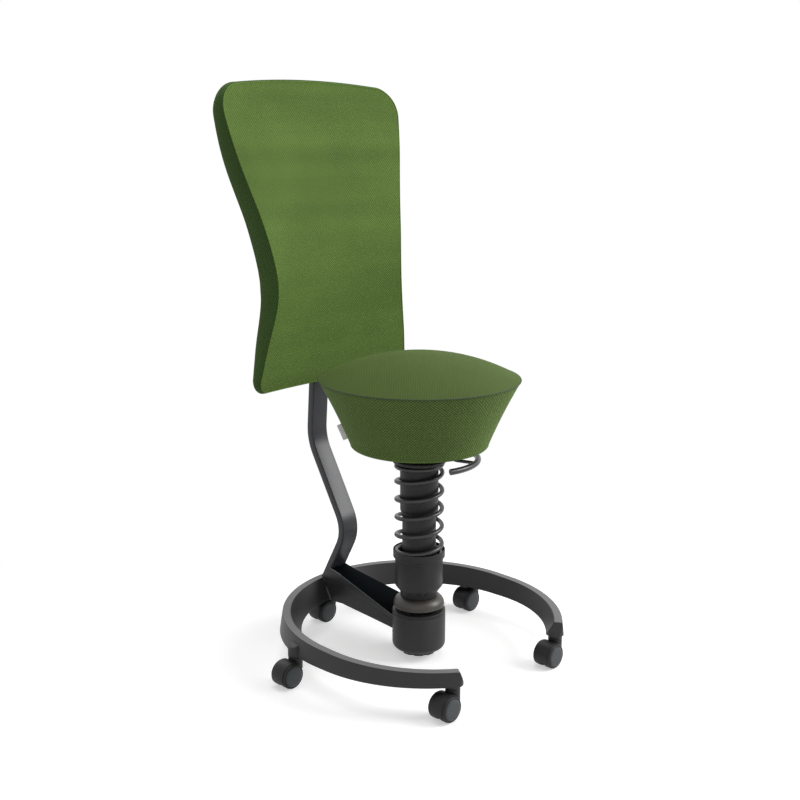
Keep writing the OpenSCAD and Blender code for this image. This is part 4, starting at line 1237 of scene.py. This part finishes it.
    def turned(self, top: list[Point2], side: list[Point2]) -> bpy.types.Mesh:
        """Turn the two lines about the column into one skin, with a UV map in metres.

        Args:
            top: The top's line.
            side: The side's line.

        Returns:
            The skin.
        """
        points: list[Point3] = [(0.0, 0.0, top[0][1] * MM)]
        faces: list[list[int]] = []
        face_uvs: list[list[Point2]] = []
        n = self.sectors
        turns = [2 * math.pi * a / n for a in range(n)]
        rings = []
        for r, z in top[1:] + side:
            rings.append(len(points))
            points += [(r * MM * math.cos(t), r * MM * math.sin(t), z * MM) for t in turns]
        centre = len(points)
        points.append((0.0, 0.0, side[-1][1] * MM))
        slant = [0.0]
        for (r0, z0), (r1, z1) in zip(side, side[1:]):
            slant.append(slant[-1] + math.hypot(r1 - r0, z1 - z0))
        mean_r = (self.rim_r + self.foot_r) / 2
        for a in range(n):
            b = (a + 1) % n
            for face in ([0, rings[0] + a, rings[0] + b], [centre, rings[-1] + b, rings[-1] + a]):
                faces.append(face)
                face_uvs.append([points[i][:2] for i in face])
        first = len(top) - 1
        for i in range(len(rings) - 1):
            s0, s1 = slant[max(0, i - first)] * MM, slant[max(0, i + 1 - first)] * MM
            for a in range(n):
                b = (a + 1) % n
                faces.append([rings[i] + a, rings[i + 1] + a, rings[i + 1] + b, rings[i] + b])
                if i < first - 1:
                    face_uvs.append([points[v][:2] for v in faces[-1]])
                else:
                    u0 = 2 * math.pi * a / n * mean_r * MM
                    u1 = 2 * math.pi * (a + 1) / n * mean_r * MM
                    face_uvs.append([(u0, s0), (u0, s1), (u1, s1), (u1, s0)])
        mesh = quad_mesh("seat_cushion_look", points, faces)
        layer = mesh.uv_layers.new(name="weave")
        for polygon, values in zip(mesh.polygons, face_uvs):
            for loop, value in zip(polygon.loop_indices, values):
                layer.data[loop].uv = value
        return mesh


@dataclass
class Column:
    """The foot joint, the spring and its seats, and the telescoping tubes."""

    shop: Workshop
    spring_foot: float = 212.0
    spring_length: float = 198.7
    spring_r: float = 50.4
    spring_steps: int = 400
    wire_r: float = 4.5
    turns: float = 6.2
    closed: float = 0.5
    ramp: float = 0.5
    wire_gap: float = 0.8
    start: float = 261.0
    bounce: float = 40.0
    knob_r: float = 39.5
    knob_foot: float = 9.0
    knob_top: float = 15.5
    knob_notches: int = 9
    notch_depth: float = 0.05
    notch_turn: float = 3.0
    notch_from: float = 0.35
    notch_slope: float = 3.0

    def build_knob(self) -> None:
        """Build the stiffness knob, notched round its edge for the fingers."""

        def lobe(angle: float) -> float:
            """Return the share of the radius that the notches leave at this angle."""
            swing = math.cos(self.knob_notches * (angle - math.radians(self.notch_turn)))
            return 1.0 - self.notch_depth * max(0.0, min(1.0, (swing - self.notch_from) * self.notch_slope))

        r, z0, z1 = self.knob_r, self.knob_foot, self.knob_top
        profile = [(ON_AXIS, z0 + 1.5), (18.0, z0 + 1.5), (20.0, z0), (r - 2.4, z0), (r - 0.6, z0 + 0.8),
                   (r, z0 + 2.4), (r, z1), (ON_AXIS, z1)]
        knob = turned_mesh("stiffness_knob_look", profile, 240, (0, 0, 0), "Z", lobe)
        self.shop.add("stiffness_knob_look", knob, "knob", Slot.PLASTIC, ["stiffness_knob"])

    def wire_point(self, t: float) -> Point3:
        """Find the middle of the spring's wire, as the CAD source does.

        Args:
            t: The turns from its foot.

        Returns:
            The point, in metres.
        """
        flat = 2 * self.wire_r + self.wire_gap
        rise = self.spring_length - 2 * self.wire_r
        extra = (rise - flat * self.turns) / (self.turns - 2 * self.closed - self.ramp)

        def eased(x: float) -> float:
            """Follow a climb that starts softly.

            Args:
                x: The turns since its start.

            Returns:
                How far it has come, in turns.
            """
            if x <= 0:
                return 0.0
            return x - self.ramp / 2 if x >= self.ramp else x * x / (2 * self.ramp)

        z = self.spring_foot + self.wire_r + flat * t + extra * (
            eased(t - self.closed) - eased(t - (self.turns - self.closed - self.ramp)))
        angle = math.radians(self.start) + 2 * math.pi * t
        r = self.spring_r - self.wire_r
        return r * math.cos(angle) * MM, r * math.sin(angle) * MM, z * MM

    def build(self) -> None:
        """Build the spring, the knob and the turned pieces."""
        line = [self.wire_point(self.turns * i / self.spring_steps) for i in range(self.spring_steps + 1)]
        mesh = round_bar("spring", line, self.wire_r, 18, self.shop.materials[Slot.SPRING])
        spring = self.shop.add("coil_spring_look", mesh, "column", Slot.SPRING, ["coil_spring"])
        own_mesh(spring)
        self.build_knob()
        for node, width in (("foot_cup", 1.0), ("joint_collar", 0.5), ("joint_dome", 0.8),
                            ("spring_cup", 0.6), ("lower_tube", 0.6), ("upper_sleeve", 0.6),
                            ("spring_plate", 0.6), ("standpipe", 0.3), ("gas_rod", 0.3)):
            self.shop.ease(node, width * MM)


@dataclass
class FloorRing:
    """The open ring with its castor bosses, and the arm that leads to the foot cup."""

    shop: Workshop
    top_r: float = 274.5
    run: float = 13.4
    lead: float = 8.2
    top_z: float = 96.2
    top_w: float = 16.4
    lean_out: float = 0.14
    lean_in: float = 0.556
    boss_z: float = 57.0
    rise: float = 3.3
    foot_tilt: float = 0.6
    tilt: float = 1.22
    edge: float = 1.9
    foot_edge: float = 1.2
    castor_front: float = 36.9
    castor_side: float = 105.9
    castor_inset: float = 13.8
    castor_back: float = 11.2
    castor_out: float = 1.5
    end_steps: int = 22
    fore_steps: int = 30
    rear_steps: int = 48
    end_r: float = 20.5
    end_face: float = 18.2
    end_slope: float = 20.0
    end_upright: float = 7.0
    end_soft: float = 5.0
    end_start: float = -14.0
    end_least: float = 0.4
    no_end: float = 99.0
    boss_r: float = 14.2
    boss_h: float = 9.0
    boss_foot_edge: float = 0.8
    boss_top_edge: float = 0.9
    side_boss_r: float = 14.5
    side_boss_h: float = 26.0
    side_boss_slope: float = 28.0
    # Painted light: the ring's flat top is painted a lighter grey than its walls, standing in for the light
    # that falls on it from above.
    top_light_colour: Colour = srgb(112, 112, 113)
    top_light_normal: float = 0.93
    arm_y0: float = 30.0
    arm_y1: float = 208.0
    arm_half0: float = 44.0
    arm_half1: float = 23.0
    arm_step: float = 4.0
    arm_flare: float = 6.5
    flare_y: float = 240.0
    flare_most: float = 1.2
    band_front: Point2 = (76.6, 86.0)
    band_bend: Point2 = (96.5, 121.6)
    band_rear: tuple[Point2, ...] = ((243.0, 128.6), (268.9, 101.0), (268.9, 92.0), (250.0, 88.0))
    web_front: Point2 = (55.0, 80.0)
    web_bend: Point2 = (54.8, 100.0)
    web_rear: tuple[Point2, ...] = ((262.0, 96.0), (243.0, 60.0), (236.0, 55.0))
    black_z: float = 84.0
    black_y: float = 244.0
    # Painted highlight: above this height, rising along y, the arm's slanted upper side faces are painted
    # light grey.
    edge_highlight_z: float = 82.0
    edge_highlight_climb: float = 0.2
    weld_r: float = 1.9
    weld_top: float = 98.0
    weld_fall: float = 40.5
    weld_out: float = 0.4
    weld_steps: int = 8
    ring_top_at_weld: float = 102.2

    @property
    def fore(self) -> float:
        """The y of the middle that the ring's front half turns about."""
        return -self.run - self.lead

    @property
    def rear(self) -> float:
        """The y of the middle that the ring's rear half turns about."""
        return self.run - self.lead

    @property
    def front_r(self) -> float:
        """The radius that the two front castors stand on."""
        return self.top_r - self.castor_inset

    @property
    def tilt_parts(self) -> Point2:
        """The sine and the cosine of the ring's tilt."""
        return math.sin(math.radians(self.tilt)), math.cos(math.radians(self.tilt))

    def build(self) -> None:
        """Build the ring and the arm."""
        self.build_ring()
        self.build_arm()
        self.shop.ease("stem_bolts", 0.4 * MM)

    def arm_half(self, y: float) -> float:
        """Return the arm's half width at y, in millimetres."""
        share = min(1.0, max(0.0, (y - self.arm_y0) / (self.arm_y1 - self.arm_y0)))
        return self.arm_half0 + share * (self.arm_half1 - self.arm_half0)

    def arm_profile(self, front: Point2, bend: Point2, rear: tuple[Point2, ...]) -> list[Point2]:
        """Draw a side profile of the arm.

        Args:
            front: Its lower and upper height at the foot cup.
            bend: Its lower and upper height at the bend.
            rear: Its (y, z) points behind the bend, from the top down.

        Returns:
            The closed (y, z) outline, in millimetres.
        """
        y0, y1 = self.arm_y0, self.arm_y1
        return [(y0, front[1]), (y1, bend[1]), *rear, (y1, bend[0]), (y0, front[0])]

    def build_arm(self) -> None:
        """Build the arm: its flat black top over two side bands, its narrower web, a painted highlight on its
        upper edges and two weld beads painted light grey as highlights.
        """

        def web_half(y: float) -> float:
            """Return the web's half width at y, in millimetres."""
            flare = max(0.0, y - self.arm_y1) / (self.flare_y - self.arm_y1)
            return self.arm_half(y) - self.arm_step + min(self.flare_most, flare) * self.arm_flare

        band = self.arm_profile(self.band_front, self.band_bend, self.band_rear)
        web = self.arm_profile(self.web_front, self.web_bend, self.web_rear)
        upper = eased_mesh(prism("arm_band", band, self.arm_half), 1.1 * MM)
        lower = eased_mesh(prism("arm_web", web, web_half), 0.8 * MM)
        mesh = joined("spoke_arm_look", (upper, lower))
        arm = self.shop.add("spoke_arm_look", mesh, "base", Slot.FRAME, ["spoke_arm"])
        black = PowderCoat("Smooth black arm top", srgb(5, 9, 11), 0.75, rubbed=0.0, gloss=0.02)
        # Painted highlight: light grey on the arm's slanted upper side faces, where light catches its edges.
        light = PowderCoat("Painted highlight on the arm's edges", srgb(124, 126, 128), 0.5, rubbed=0.0)
        arm.data.materials.append(black.material())
        arm.data.materials.append(light.material())
        for face in arm.data.polygons:
            up, middle = face.normal.z, face.center
            crest = self.edge_highlight_z + self.edge_highlight_climb * (middle.y / MM - self.arm_y0)
            if up > 0.9 and middle.z > self.black_z * MM and middle.y < self.black_y * MM:
                face.material_index = 1
            elif 0.25 < up < 0.9 and abs(face.normal.x) > 0.3 and middle.z > crest * MM:
                face.material_index = 2
        # Painted highlight: the two weld beads are painted light grey, standing in for the bright line of
        # light along the arm's end at the ring.
        weld_highlight = PowderCoat("Weld bead painted as a highlight", srgb(96, 97, 98), 0.5, rubbed=0.0).material()
        for side, name in ((-1, "arm_weld_highlight_left"), (1, "arm_weld_highlight_right")):
            line = []
            for share in (i / self.weld_steps for i in range(self.weld_steps + 1)):
                z = self.weld_top - self.weld_fall * share
                x = self.arm_half1 + self.weld_out + share * (self.arm_flare - self.arm_step)
                inner = self.top_r - self.top_w - self.lean_in * (self.ring_top_at_weld - z)
                line.append((side * x * MM, (self.rear + math.sqrt(inner**2 - x**2)) * MM, z * MM))
            self.shop.add(name, round_bar(name, line, self.weld_r, 10, weld_highlight), "base", Slot.FRAME)

    def stations(self) -> list[tuple[float, float, float, float]]:
        """Lay out the ring's stations, from its right end round the rear to its left end.

        Returns:
            Each station's centre y, outward x and y, and the distance past the front castor.
        """
        front, past = self.castor_front, [self.end_face - self.end_face * i / self.end_steps
                                          for i in range(self.end_steps + 1)]
        half = [(self.fore, front - math.degrees(q / self.front_r), q) for q in past]
        half += [(self.fore, front + (90 - front) * i / self.fore_steps, 0.0)
                 for i in range(1, self.fore_steps + 1)]
        half += [(self.rear, 90 + 90 * i / self.rear_steps, 0.0) for i in range(self.rear_steps + 1)]
        right = [(cy, math.sin(math.radians(a)), -math.cos(math.radians(a)), q) for cy, a, q in half]
        left = [(cy, -nx, ny, q) for cy, nx, ny, q in reversed(right[:-1])]
        return right + left

    def place(self, station: tuple[float, float, float, float], r: float, depth: float) -> Point3:
        """Place a point of the ring.

        Args:
            station: Its station.
            r: Its radius.
            depth: Its depth below the tilted top.

        Returns:
            The point, in millimetres.
        """
        cy, nx, ny, _ = station
        y = cy + r * ny
        sine, cosine = self.tilt_parts
        return r * nx, y * cosine + depth * sine, self.top_z + y * sine - depth * cosine

    def foot_depth(self, station: tuple[float, float, float, float], radius: float, lean: float) -> float:
        """Find the depth at which a wall of the ring meets the plane of its foot.

        Args:
            station: The station.
            radius: The wall's radius at the top.
            lean: How much the radius grows with the depth.

        Returns:
            The depth, in millimetres.
        """
        sine, cosine = self.tilt_parts
        fall = math.tan(math.radians(self.foot_tilt))
        high = self.top_z - self.boss_z - self.rise
        depth = 36.0
        for _ in range(4):
            y = station[0] + (radius + lean * depth) * station[2]
            depth = (high + y * (sine + cosine * fall)) / (cosine - sine * fall)
        return depth

    def section(self, station: tuple[float, float, float, float]) -> list[Point2]:
        """Draw the ring's section, which slopes down and narrows towards each end.

        Args:
            station: Where it is.

        Returns:
            Its (radius, depth) points, in millimetres.
        """
        past = station[3]
        deep_out = self.foot_depth(station, self.top_r, self.lean_out)
        deep_in = self.foot_depth(station, self.top_r - self.top_w, -self.lean_in)
        lowest = min(deep_out, deep_in)
        climb = 1 / math.tan(math.radians(self.end_slope))
        over = lowest - self.end_upright - (self.end_face - past) * climb
        top = 0.5 * (over + math.sqrt(over * over + self.end_soft)) if over > self.end_start else 0.0
        top = min(top, lowest - self.end_least)
        reach = math.sqrt(max(0.0, self.end_r**2 - past**2)) if past > 0 else self.no_end

        def outer(depth: float) -> float:
            """Return the outer wall's radius at this depth."""
            return min(self.top_r + self.lean_out * depth, self.front_r + reach)

        def inner(depth: float) -> float:
            """Return the inner wall's radius at this depth."""
            return max(self.top_r - self.top_w - self.lean_in * depth, self.front_r - reach)

        corners = [(outer(deep_out), deep_out), (outer(top), top), (inner(top), top),
                   (inner(deep_in), deep_in)]
        return rounded(corners, (self.foot_edge, self.edge, self.edge, self.foot_edge), 6)

    def build_ring(self) -> None:
        """Sweep the tapered section round the ring, close its ends, set the castor bosses on it and paint
        light onto its top.
        """
        stations = self.stations()
        points: list[Point3] = []
        faces: list[list[int]] = []
        count = 0
        for station in stations:
            section = self.section(station)
            count = len(section)
            points += [tuple(c * MM for c in self.place(station, r, depth)) for r, depth in section]
        for i in range(len(stations) - 1):
            for k in range(count):
                j = (k + 1) % count
                faces.append([i * count + k, (i + 1) * count + k, (i + 1) * count + j, i * count + j])
        faces.append(list(range(count)))
        last = (len(stations) - 1) * count
        faces.append(list(range(last + count - 1, last - 1, -1)))
        low = (self.boss_r, self.boss_h, 0.0)
        high = (self.side_boss_r, self.side_boss_h, self.side_boss_slope)
        side_r, back_r = self.top_r + self.castor_out, self.top_r - self.castor_back
        for cy, angle, r, form in ((self.fore, self.castor_front, self.front_r, low),
                                   (self.fore, -self.castor_front, self.front_r, low),
                                   (self.rear, self.castor_side, side_r, high),
                                   (self.rear, -self.castor_side, side_r, high),
                                   (self.rear, 180.0, back_r, low)):
            out = (math.sin(math.radians(angle)), -math.cos(math.radians(angle)))
            self.add_boss(points, faces, (r * out[0], cy + r * out[1]), out, *form)
        mesh = quad_mesh("base_ring_look", points, faces)
        outward(mesh)
        ring = self.shop.add("base_ring_look", mesh, "base", Slot.FRAME, ["base_ring"], crease=35)
        # Painted light: the upward faces of the ring's top, above the bosses, take a lighter grey that stands
        # in for the light from above.
        top_light_paint = PowderCoat("Ring top with painted light", self.top_light_colour, 0.5, rubbed=0.1)
        ring.data.materials.append(top_light_paint.material())
        for face in ring.data.polygons:
            if face.normal.z > self.top_light_normal and face.center.z > (self.boss_z + 30) * MM:
                face.material_index = 1

    def add_boss(self, points: list[Point3], faces: list[list[int]], at: Point2, out: Point2, radius: float,
                 high: float, slope: float) -> None:
        """Add a castor boss: a short post whose top slopes down away from the ring.

        Args:
            points: The mesh's points, which grow.
            faces: The mesh's faces, which grow.
            at: The boss's middle on the floor, in millimetres.
            out: The direction away from the ring's middle.
            radius: Its radius.
            high: Its height above its underside.
            slope: The slope of its top, in degrees.
        """
        sides = 48
        fall = math.tan(math.radians(slope))
        foot, crown = self.boss_foot_edge, self.boss_top_edge
        radii = (radius - foot, radius, radius, radius - crown)
        first = len(points)
        for row, r in enumerate(radii):
            for k in range(sides):
                a = 2 * math.pi * k / sides
                x, y = math.cos(a), math.sin(a)
                top = high - (r * (x * out[0] + y * out[1]) + self.castor_out) * fall
                z = (0.0, foot, top - crown, top)[row]
                points.append(((at[0] + r * x) * MM, (at[1] + r * y) * MM, (self.boss_z + z) * MM))
        for row in range(len(radii) - 1):
            for k in range(sides):
                j = (k + 1) % sides
                a = first + row * sides
                faces.append([a + k, a + j, a + sides + j, a + sides + k])
        faces.append([first + k for k in reversed(range(sides))])
        faces.append([first + (len(radii) - 1) * sides + k for k in range(sides)])


@dataclass
class Castors:
    """The five twin-wheel castors, each with its wheels trailing towards -X."""

    shop: Workshop
    wheel_r: float = 25.0
    inner: float = 2.2
    outer: float = 21.6
    trail: float = 22.0
    neck_r: float = 14.0
    neck_edge: float = 0.8
    neck_foot: float = 31.0
    neck_top: float = 56.5
    web: float = 1.8
    web_lap: float = 0.4
    web_play: float = 0.05
    web_open: float = 0.86
    room: float = 0.7
    room_end: float = 60.0
    hood_r: float = 26.3
    hood_t: float = 0.9
    hood_half: float = 15.5
    hood_from: float = 22.0
    hood_to: float = 205.0
    hood_steps: int = 36
    disc_r: float = 20.4
    disc_depth: float = 3.0
    axle_r: float = 4.06
    axle_play: float = 0.06
    axle_inset: float = 3.4

    def build(self) -> None:
        """Build every castor round its own swivel axis."""
        disc = PowderCoat("Grey castor disc", srgb(60, 64, 66), 0.42, rubbed=0.0).material()
        end, slim = self.outer - self.axle_inset, self.axle_r - self.axle_play
        rod = [(ON_AXIS, -end), (slim, -end), (slim, end), (ON_AXIS, end)]
        for i in range(1, 6):
            body = f"castor_{i}"
            low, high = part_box(f"castor_{i}_stem")
            x, y = ((low[k] + high[k]) / 2 / MM for k in (0, 1))
            hub = (x - self.trail, y, self.wheel_r)
            axle = turned_mesh("axle", rod, 32, hub, "+Y")
            self.shop.add(f"{body}_axle_look", axle, body, Slot.STEEL, [f"{body}_axle"])
            self.shop.ease(f"{body}_stem", 0.3 * MM)
            self.shop.add(f"{body}_housing_look", self.housing(x, y), body, Slot.PLASTIC, [f"{body}_housing"])
            for side, axis in (("a", "+Y"), ("b", "-Y")):
                node = f"{body}_wheel_{side}"
                wheel = turned_mesh("wheel", self.wheel_profile(), 72, hub, axis)
                piece = self.shop.add(f"{node}_look", wheel, node, Slot.TYRE, [node], crease=28)
                piece.data.materials.append(disc)
                for face in piece.data.polygons:
                    away = math.hypot(face.center.x - hub[0] * MM, face.center.z - hub[2] * MM)
                    far = abs(face.center.y - y * MM) > (self.outer - self.disc_depth) * MM
                    if abs(face.normal.y) > 0.6 and away < self.disc_r * MM and far:
                        face.material_index = 1

    def wheel_profile(self) -> list[Point2]:
        """Draw a wheel's section: its tread, the groove of its rim and its stepped disc.

        Returns:
            The (radius, distance from the castor's middle) points, in millimetres.
        """
        r, a, b = self.wheel_r, self.inner, self.outer
        tread = [(r - 4.5, a), (r - 2.0, a + 0.7), (r - 0.6, a + 2.2), (r, a + 4.6), (r, b - 5.2),
                 (r - 0.5, b - 3.4), (r - 1.6, b - 2.0), (r - 3.0, b - 1.4)]
        face = [(r - 3.6, b - 2.2), (self.disc_r + 0.3, b - 2.2), (self.disc_r, b - 1.5),
                (self.disc_r - 1.0, b - 0.8), (17.2, b - 0.5), (16.6, b - 0.1), (9.0, b), (ON_AXIS, b),
                (ON_AXIS, b - 3.0), (self.axle_r, b - 3.0), (self.axle_r, a)]
        return tread + face

    def housing(self, x: float, y: float) -> bpy.types.Mesh:
        """Build the neck, the hood over the wheels and the web between them.

        Args:
            x: The swivel axis's x, in millimetres.
            y: The swivel axis's y, in millimetres.

        Returns:
            The housing's mesh.
        """
        at = (x - self.trail, y, self.wheel_r)
        r, z0, z1, edge = self.neck_r, self.neck_foot, self.neck_top, self.neck_edge
        neck = turned_mesh("neck", [(ON_AXIS, z0), (r - edge, z0), (r, z0 + edge), (r, z1 - edge),
                                    (r - edge, z1), (ON_AXIS, z1)], 64, (x, y, 0))
        room, end = self.wheel_r + self.room, self.room_end
        drum = [(ON_AXIS, self.web), (room, self.web), (room, end), (ON_AXIS, end)]
        cuts = [turned_mesh("room", drum, 72, at, axis) for axis in ("+Y", "-Y")]
        inside, half, steps = self.hood_r - self.hood_t, self.hood_half, self.hood_steps
        section = rounded([(inside, -half), (self.hood_r, -half), (self.hood_r, half), (inside, half)],
                          [0.2, 0.6, 0.6, 0.2], 3)
        arc = self.hood_to - self.hood_from
        angles = [math.radians(self.hood_from + arc * k / steps) for k in range(steps + 1)]
        hood = lofted("hood", [[((at[0] + r * math.cos(a)) * MM, (at[1] + d) * MM,
                                 (at[2] + r * math.sin(a)) * MM) for r, d in section] for a in angles])
        rim, thick = inside + self.web_lap, self.web - self.web_play
        disc = [(ON_AXIS, -thick), (rim, -thick), (rim, thick), (ON_AXIS, thick)]

        def lobe(angle: float) -> float:
            """Return the share of the web's radius at this angle, which is less outside the hood."""
            return 1.0 if self.hood_from <= math.degrees(angle) <= self.hood_to else self.web_open

        web = turned_mesh("web", disc, 72, at, "+Y", lobe)
        blank = bpy.data.objects.new("neck_blank", neck)
        bpy.context.scene.collection.objects.link(blank)
        tools = []
        for cut in cuts:
            tool = bpy.data.objects.new("room_blank", cut)
            bpy.context.scene.collection.objects.link(tool)
            carve = blank.modifiers.new("Carve", "BOOLEAN")
            carve.operation = "DIFFERENCE"
            carve.object = tool
            tools.append(tool)
        carved = baked(blank)
        for tool in tools:
            bpy.data.objects.remove(tool)
        return joined("castor_housing", (carved, hood, web))


@dataclass
class Studio:
    """The plain floor, the soft lamps and the camera of the photograph."""

    camera_at: Point3 = (-1.67562, -1.54958, 1.0432)
    camera_towards: Point3 = (0.7053, 0.6747, -0.2176)
    lens: float = 53.446
    floor_lift: float = 0.46
    shadow_reach: float = 0.6
    sky: float = 0.36

    def build(self) -> None:
        """Build floor, world, lamps and camera."""
        self.build_camera()
        self.build_floor()
        self.build_world()
        self.lamp("Key lamp", (2.4, -2.3, 2.35), 2.2, 124)
        self.lamp("Fill lamp", (-3.0, -1.6, 1.4), 2.6, 7)
        self.lamp("Top lamp", (0.2, 0.2, 3.4), 2.4, 46)
        self.lamp("Back lamp", (0.5, 3.2, 2.4), 2.2, 17)
        bpy.context.scene.view_settings.view_transform = "Standard"

    def build_camera(self) -> None:
        """Put the camera where the photograph was taken from."""
        data = bpy.data.cameras.new("Camera")
        data.lens = self.lens
        data.sensor_width = 36.0
        data.clip_start = 0.05
        data.clip_end = 60.0
        camera = bpy.data.objects.new("Camera", data)
        camera.location = self.camera_at
        camera.rotation_mode = "QUATERNION"
        camera.rotation_quaternion = Vector(self.camera_towards).to_track_quat("-Z", "Y")
        bpy.context.scene.collection.objects.link(camera)
        bpy.context.scene.camera = camera

    def build_floor(self) -> None:
        """Lay a pale floor that reads as white paper and keeps the object's shadow."""
        mesh = quad_mesh("Floor", [(-14, -14, 0), (14, -14, 0), (14, 14, 0), (-14, 14, 0)], [(0, 1, 2, 3)])
        floor = bpy.data.objects.new("Floor", mesh)
        bpy.context.scene.collection.objects.link(floor)
        g = Graph("White studio floor", (0.74, 0.74, 0.74), 0.9)
        g.set("Specular IOR Level", 0.0)
        seen = g.node("ShaderNodeLightPath")
        direct = g.math("MAXIMUM", seen.outputs["Is Camera Ray"], g.math(
            "MAXIMUM", seen.outputs["Is Glossy Ray"], seen.outputs["Is Transmission Ray"]))
        lift = self.glow(g, self.floor_lift)
        near = g.node("ShaderNodeAddShader")
        g.join(g.shader.outputs[0], near.inputs[0])
        g.join(lift.outputs[0], near.inputs[1])
        g.join(g.math("MULTIPLY", direct, self.floor_lift), lift.inputs["Strength"])
        far = self.glow(g, 1.0)
        distance = g.node("ShaderNodeVectorMath", operation="LENGTH")
        g.join(g.place("Object"), distance.inputs[0])
        fade = g.spread(distance.outputs["Value"], 0.0, 1.0, self.shadow_reach, self.shadow_reach * 1.9)
        mix = g.node("ShaderNodeMixShader")
        g.join(g.math("MULTIPLY", fade, direct), mix.inputs[0])
        g.join(near.outputs[0], mix.inputs[1])
        g.join(far.outputs[0], mix.inputs[2])
        g.join(mix.outputs[0], g.output.inputs["Surface"])
        mesh.materials.append(g.material)

    def glow(self, g: Graph, strength: float) -> bpy.types.Node:
        """Add a white emission to a material.

        Args:
            g: The material's node tree.
            strength: How bright it is.

        Returns:
            The emission node.
        """
        made = g.node("ShaderNodeEmission")
        made.inputs["Color"].default_value = (1, 1, 1, 1)
        made.inputs["Strength"].default_value = strength
        return made

    def build_world(self) -> None:
        """Light the object from all round, and show white where the camera sees past the floor."""
        world = bpy.data.worlds.new("Studio")
        bpy.context.scene.world = world
        world.use_nodes = True
        tree = world.node_tree
        tree.nodes.clear()
        path = tree.nodes.new("ShaderNodeLightPath")
        strength = tree.nodes.new("ShaderNodeMix")
        background = tree.nodes.new("ShaderNodeBackground")
        output = tree.nodes.new("ShaderNodeOutputWorld")
        background.inputs["Color"].default_value = (1, 1, 1, 1)
        strength.inputs["A"].default_value = self.sky
        strength.inputs["B"].default_value = 1.0
        seen = path.outputs["Is Camera Ray"]
        for kind in ("Is Glossy Ray", "Is Transmission Ray"):
            either = tree.nodes.new("ShaderNodeMath")
            either.operation = "MAXIMUM"
            tree.links.new(seen, either.inputs[0])
            tree.links.new(path.outputs[kind], either.inputs[1])
            seen = either.outputs[0]
        tree.links.new(seen, strength.inputs["Factor"])
        tree.links.new(strength.outputs["Result"], background.inputs["Strength"])
        tree.links.new(background.outputs[0], output.inputs["Surface"])

    def lamp(self, name: str, at: Point3, size: float, power: float) -> None:
        """Hang a soft square lamp that looks at the object's middle.

        Args:
            name: Its name.
            at: Where it hangs, in metres.
            size: Its side, in metres.
            power: Its power, in watts.
        """
        data = bpy.data.lights.new(name, "AREA")
        data.size = size
        data.energy = power
        made = bpy.data.objects.new(name, data)
        made.location = at
        made.rotation_mode = "QUATERNION"
        made.rotation_quaternion = (Vector((0, 0.1, 0.55)) - Vector(at)).to_track_quat("-Z", "Y")
        bpy.context.scene.collection.objects.link(made)


def main() -> None:
    """Build the scene: studio first, then the object from the floor up."""
    logging.basicConfig(level=logging.INFO, format="%(message)s")
    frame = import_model()
    Studio().build()
    shop = Workshop(frame)
    shop.dress_all()
    FloorRing(shop).build()
    Castors(shop).build()
    Column(shop).build()
    Seat(shop).build()
    Backrest(shop).build()


if __name__ == "__main__":
    main()
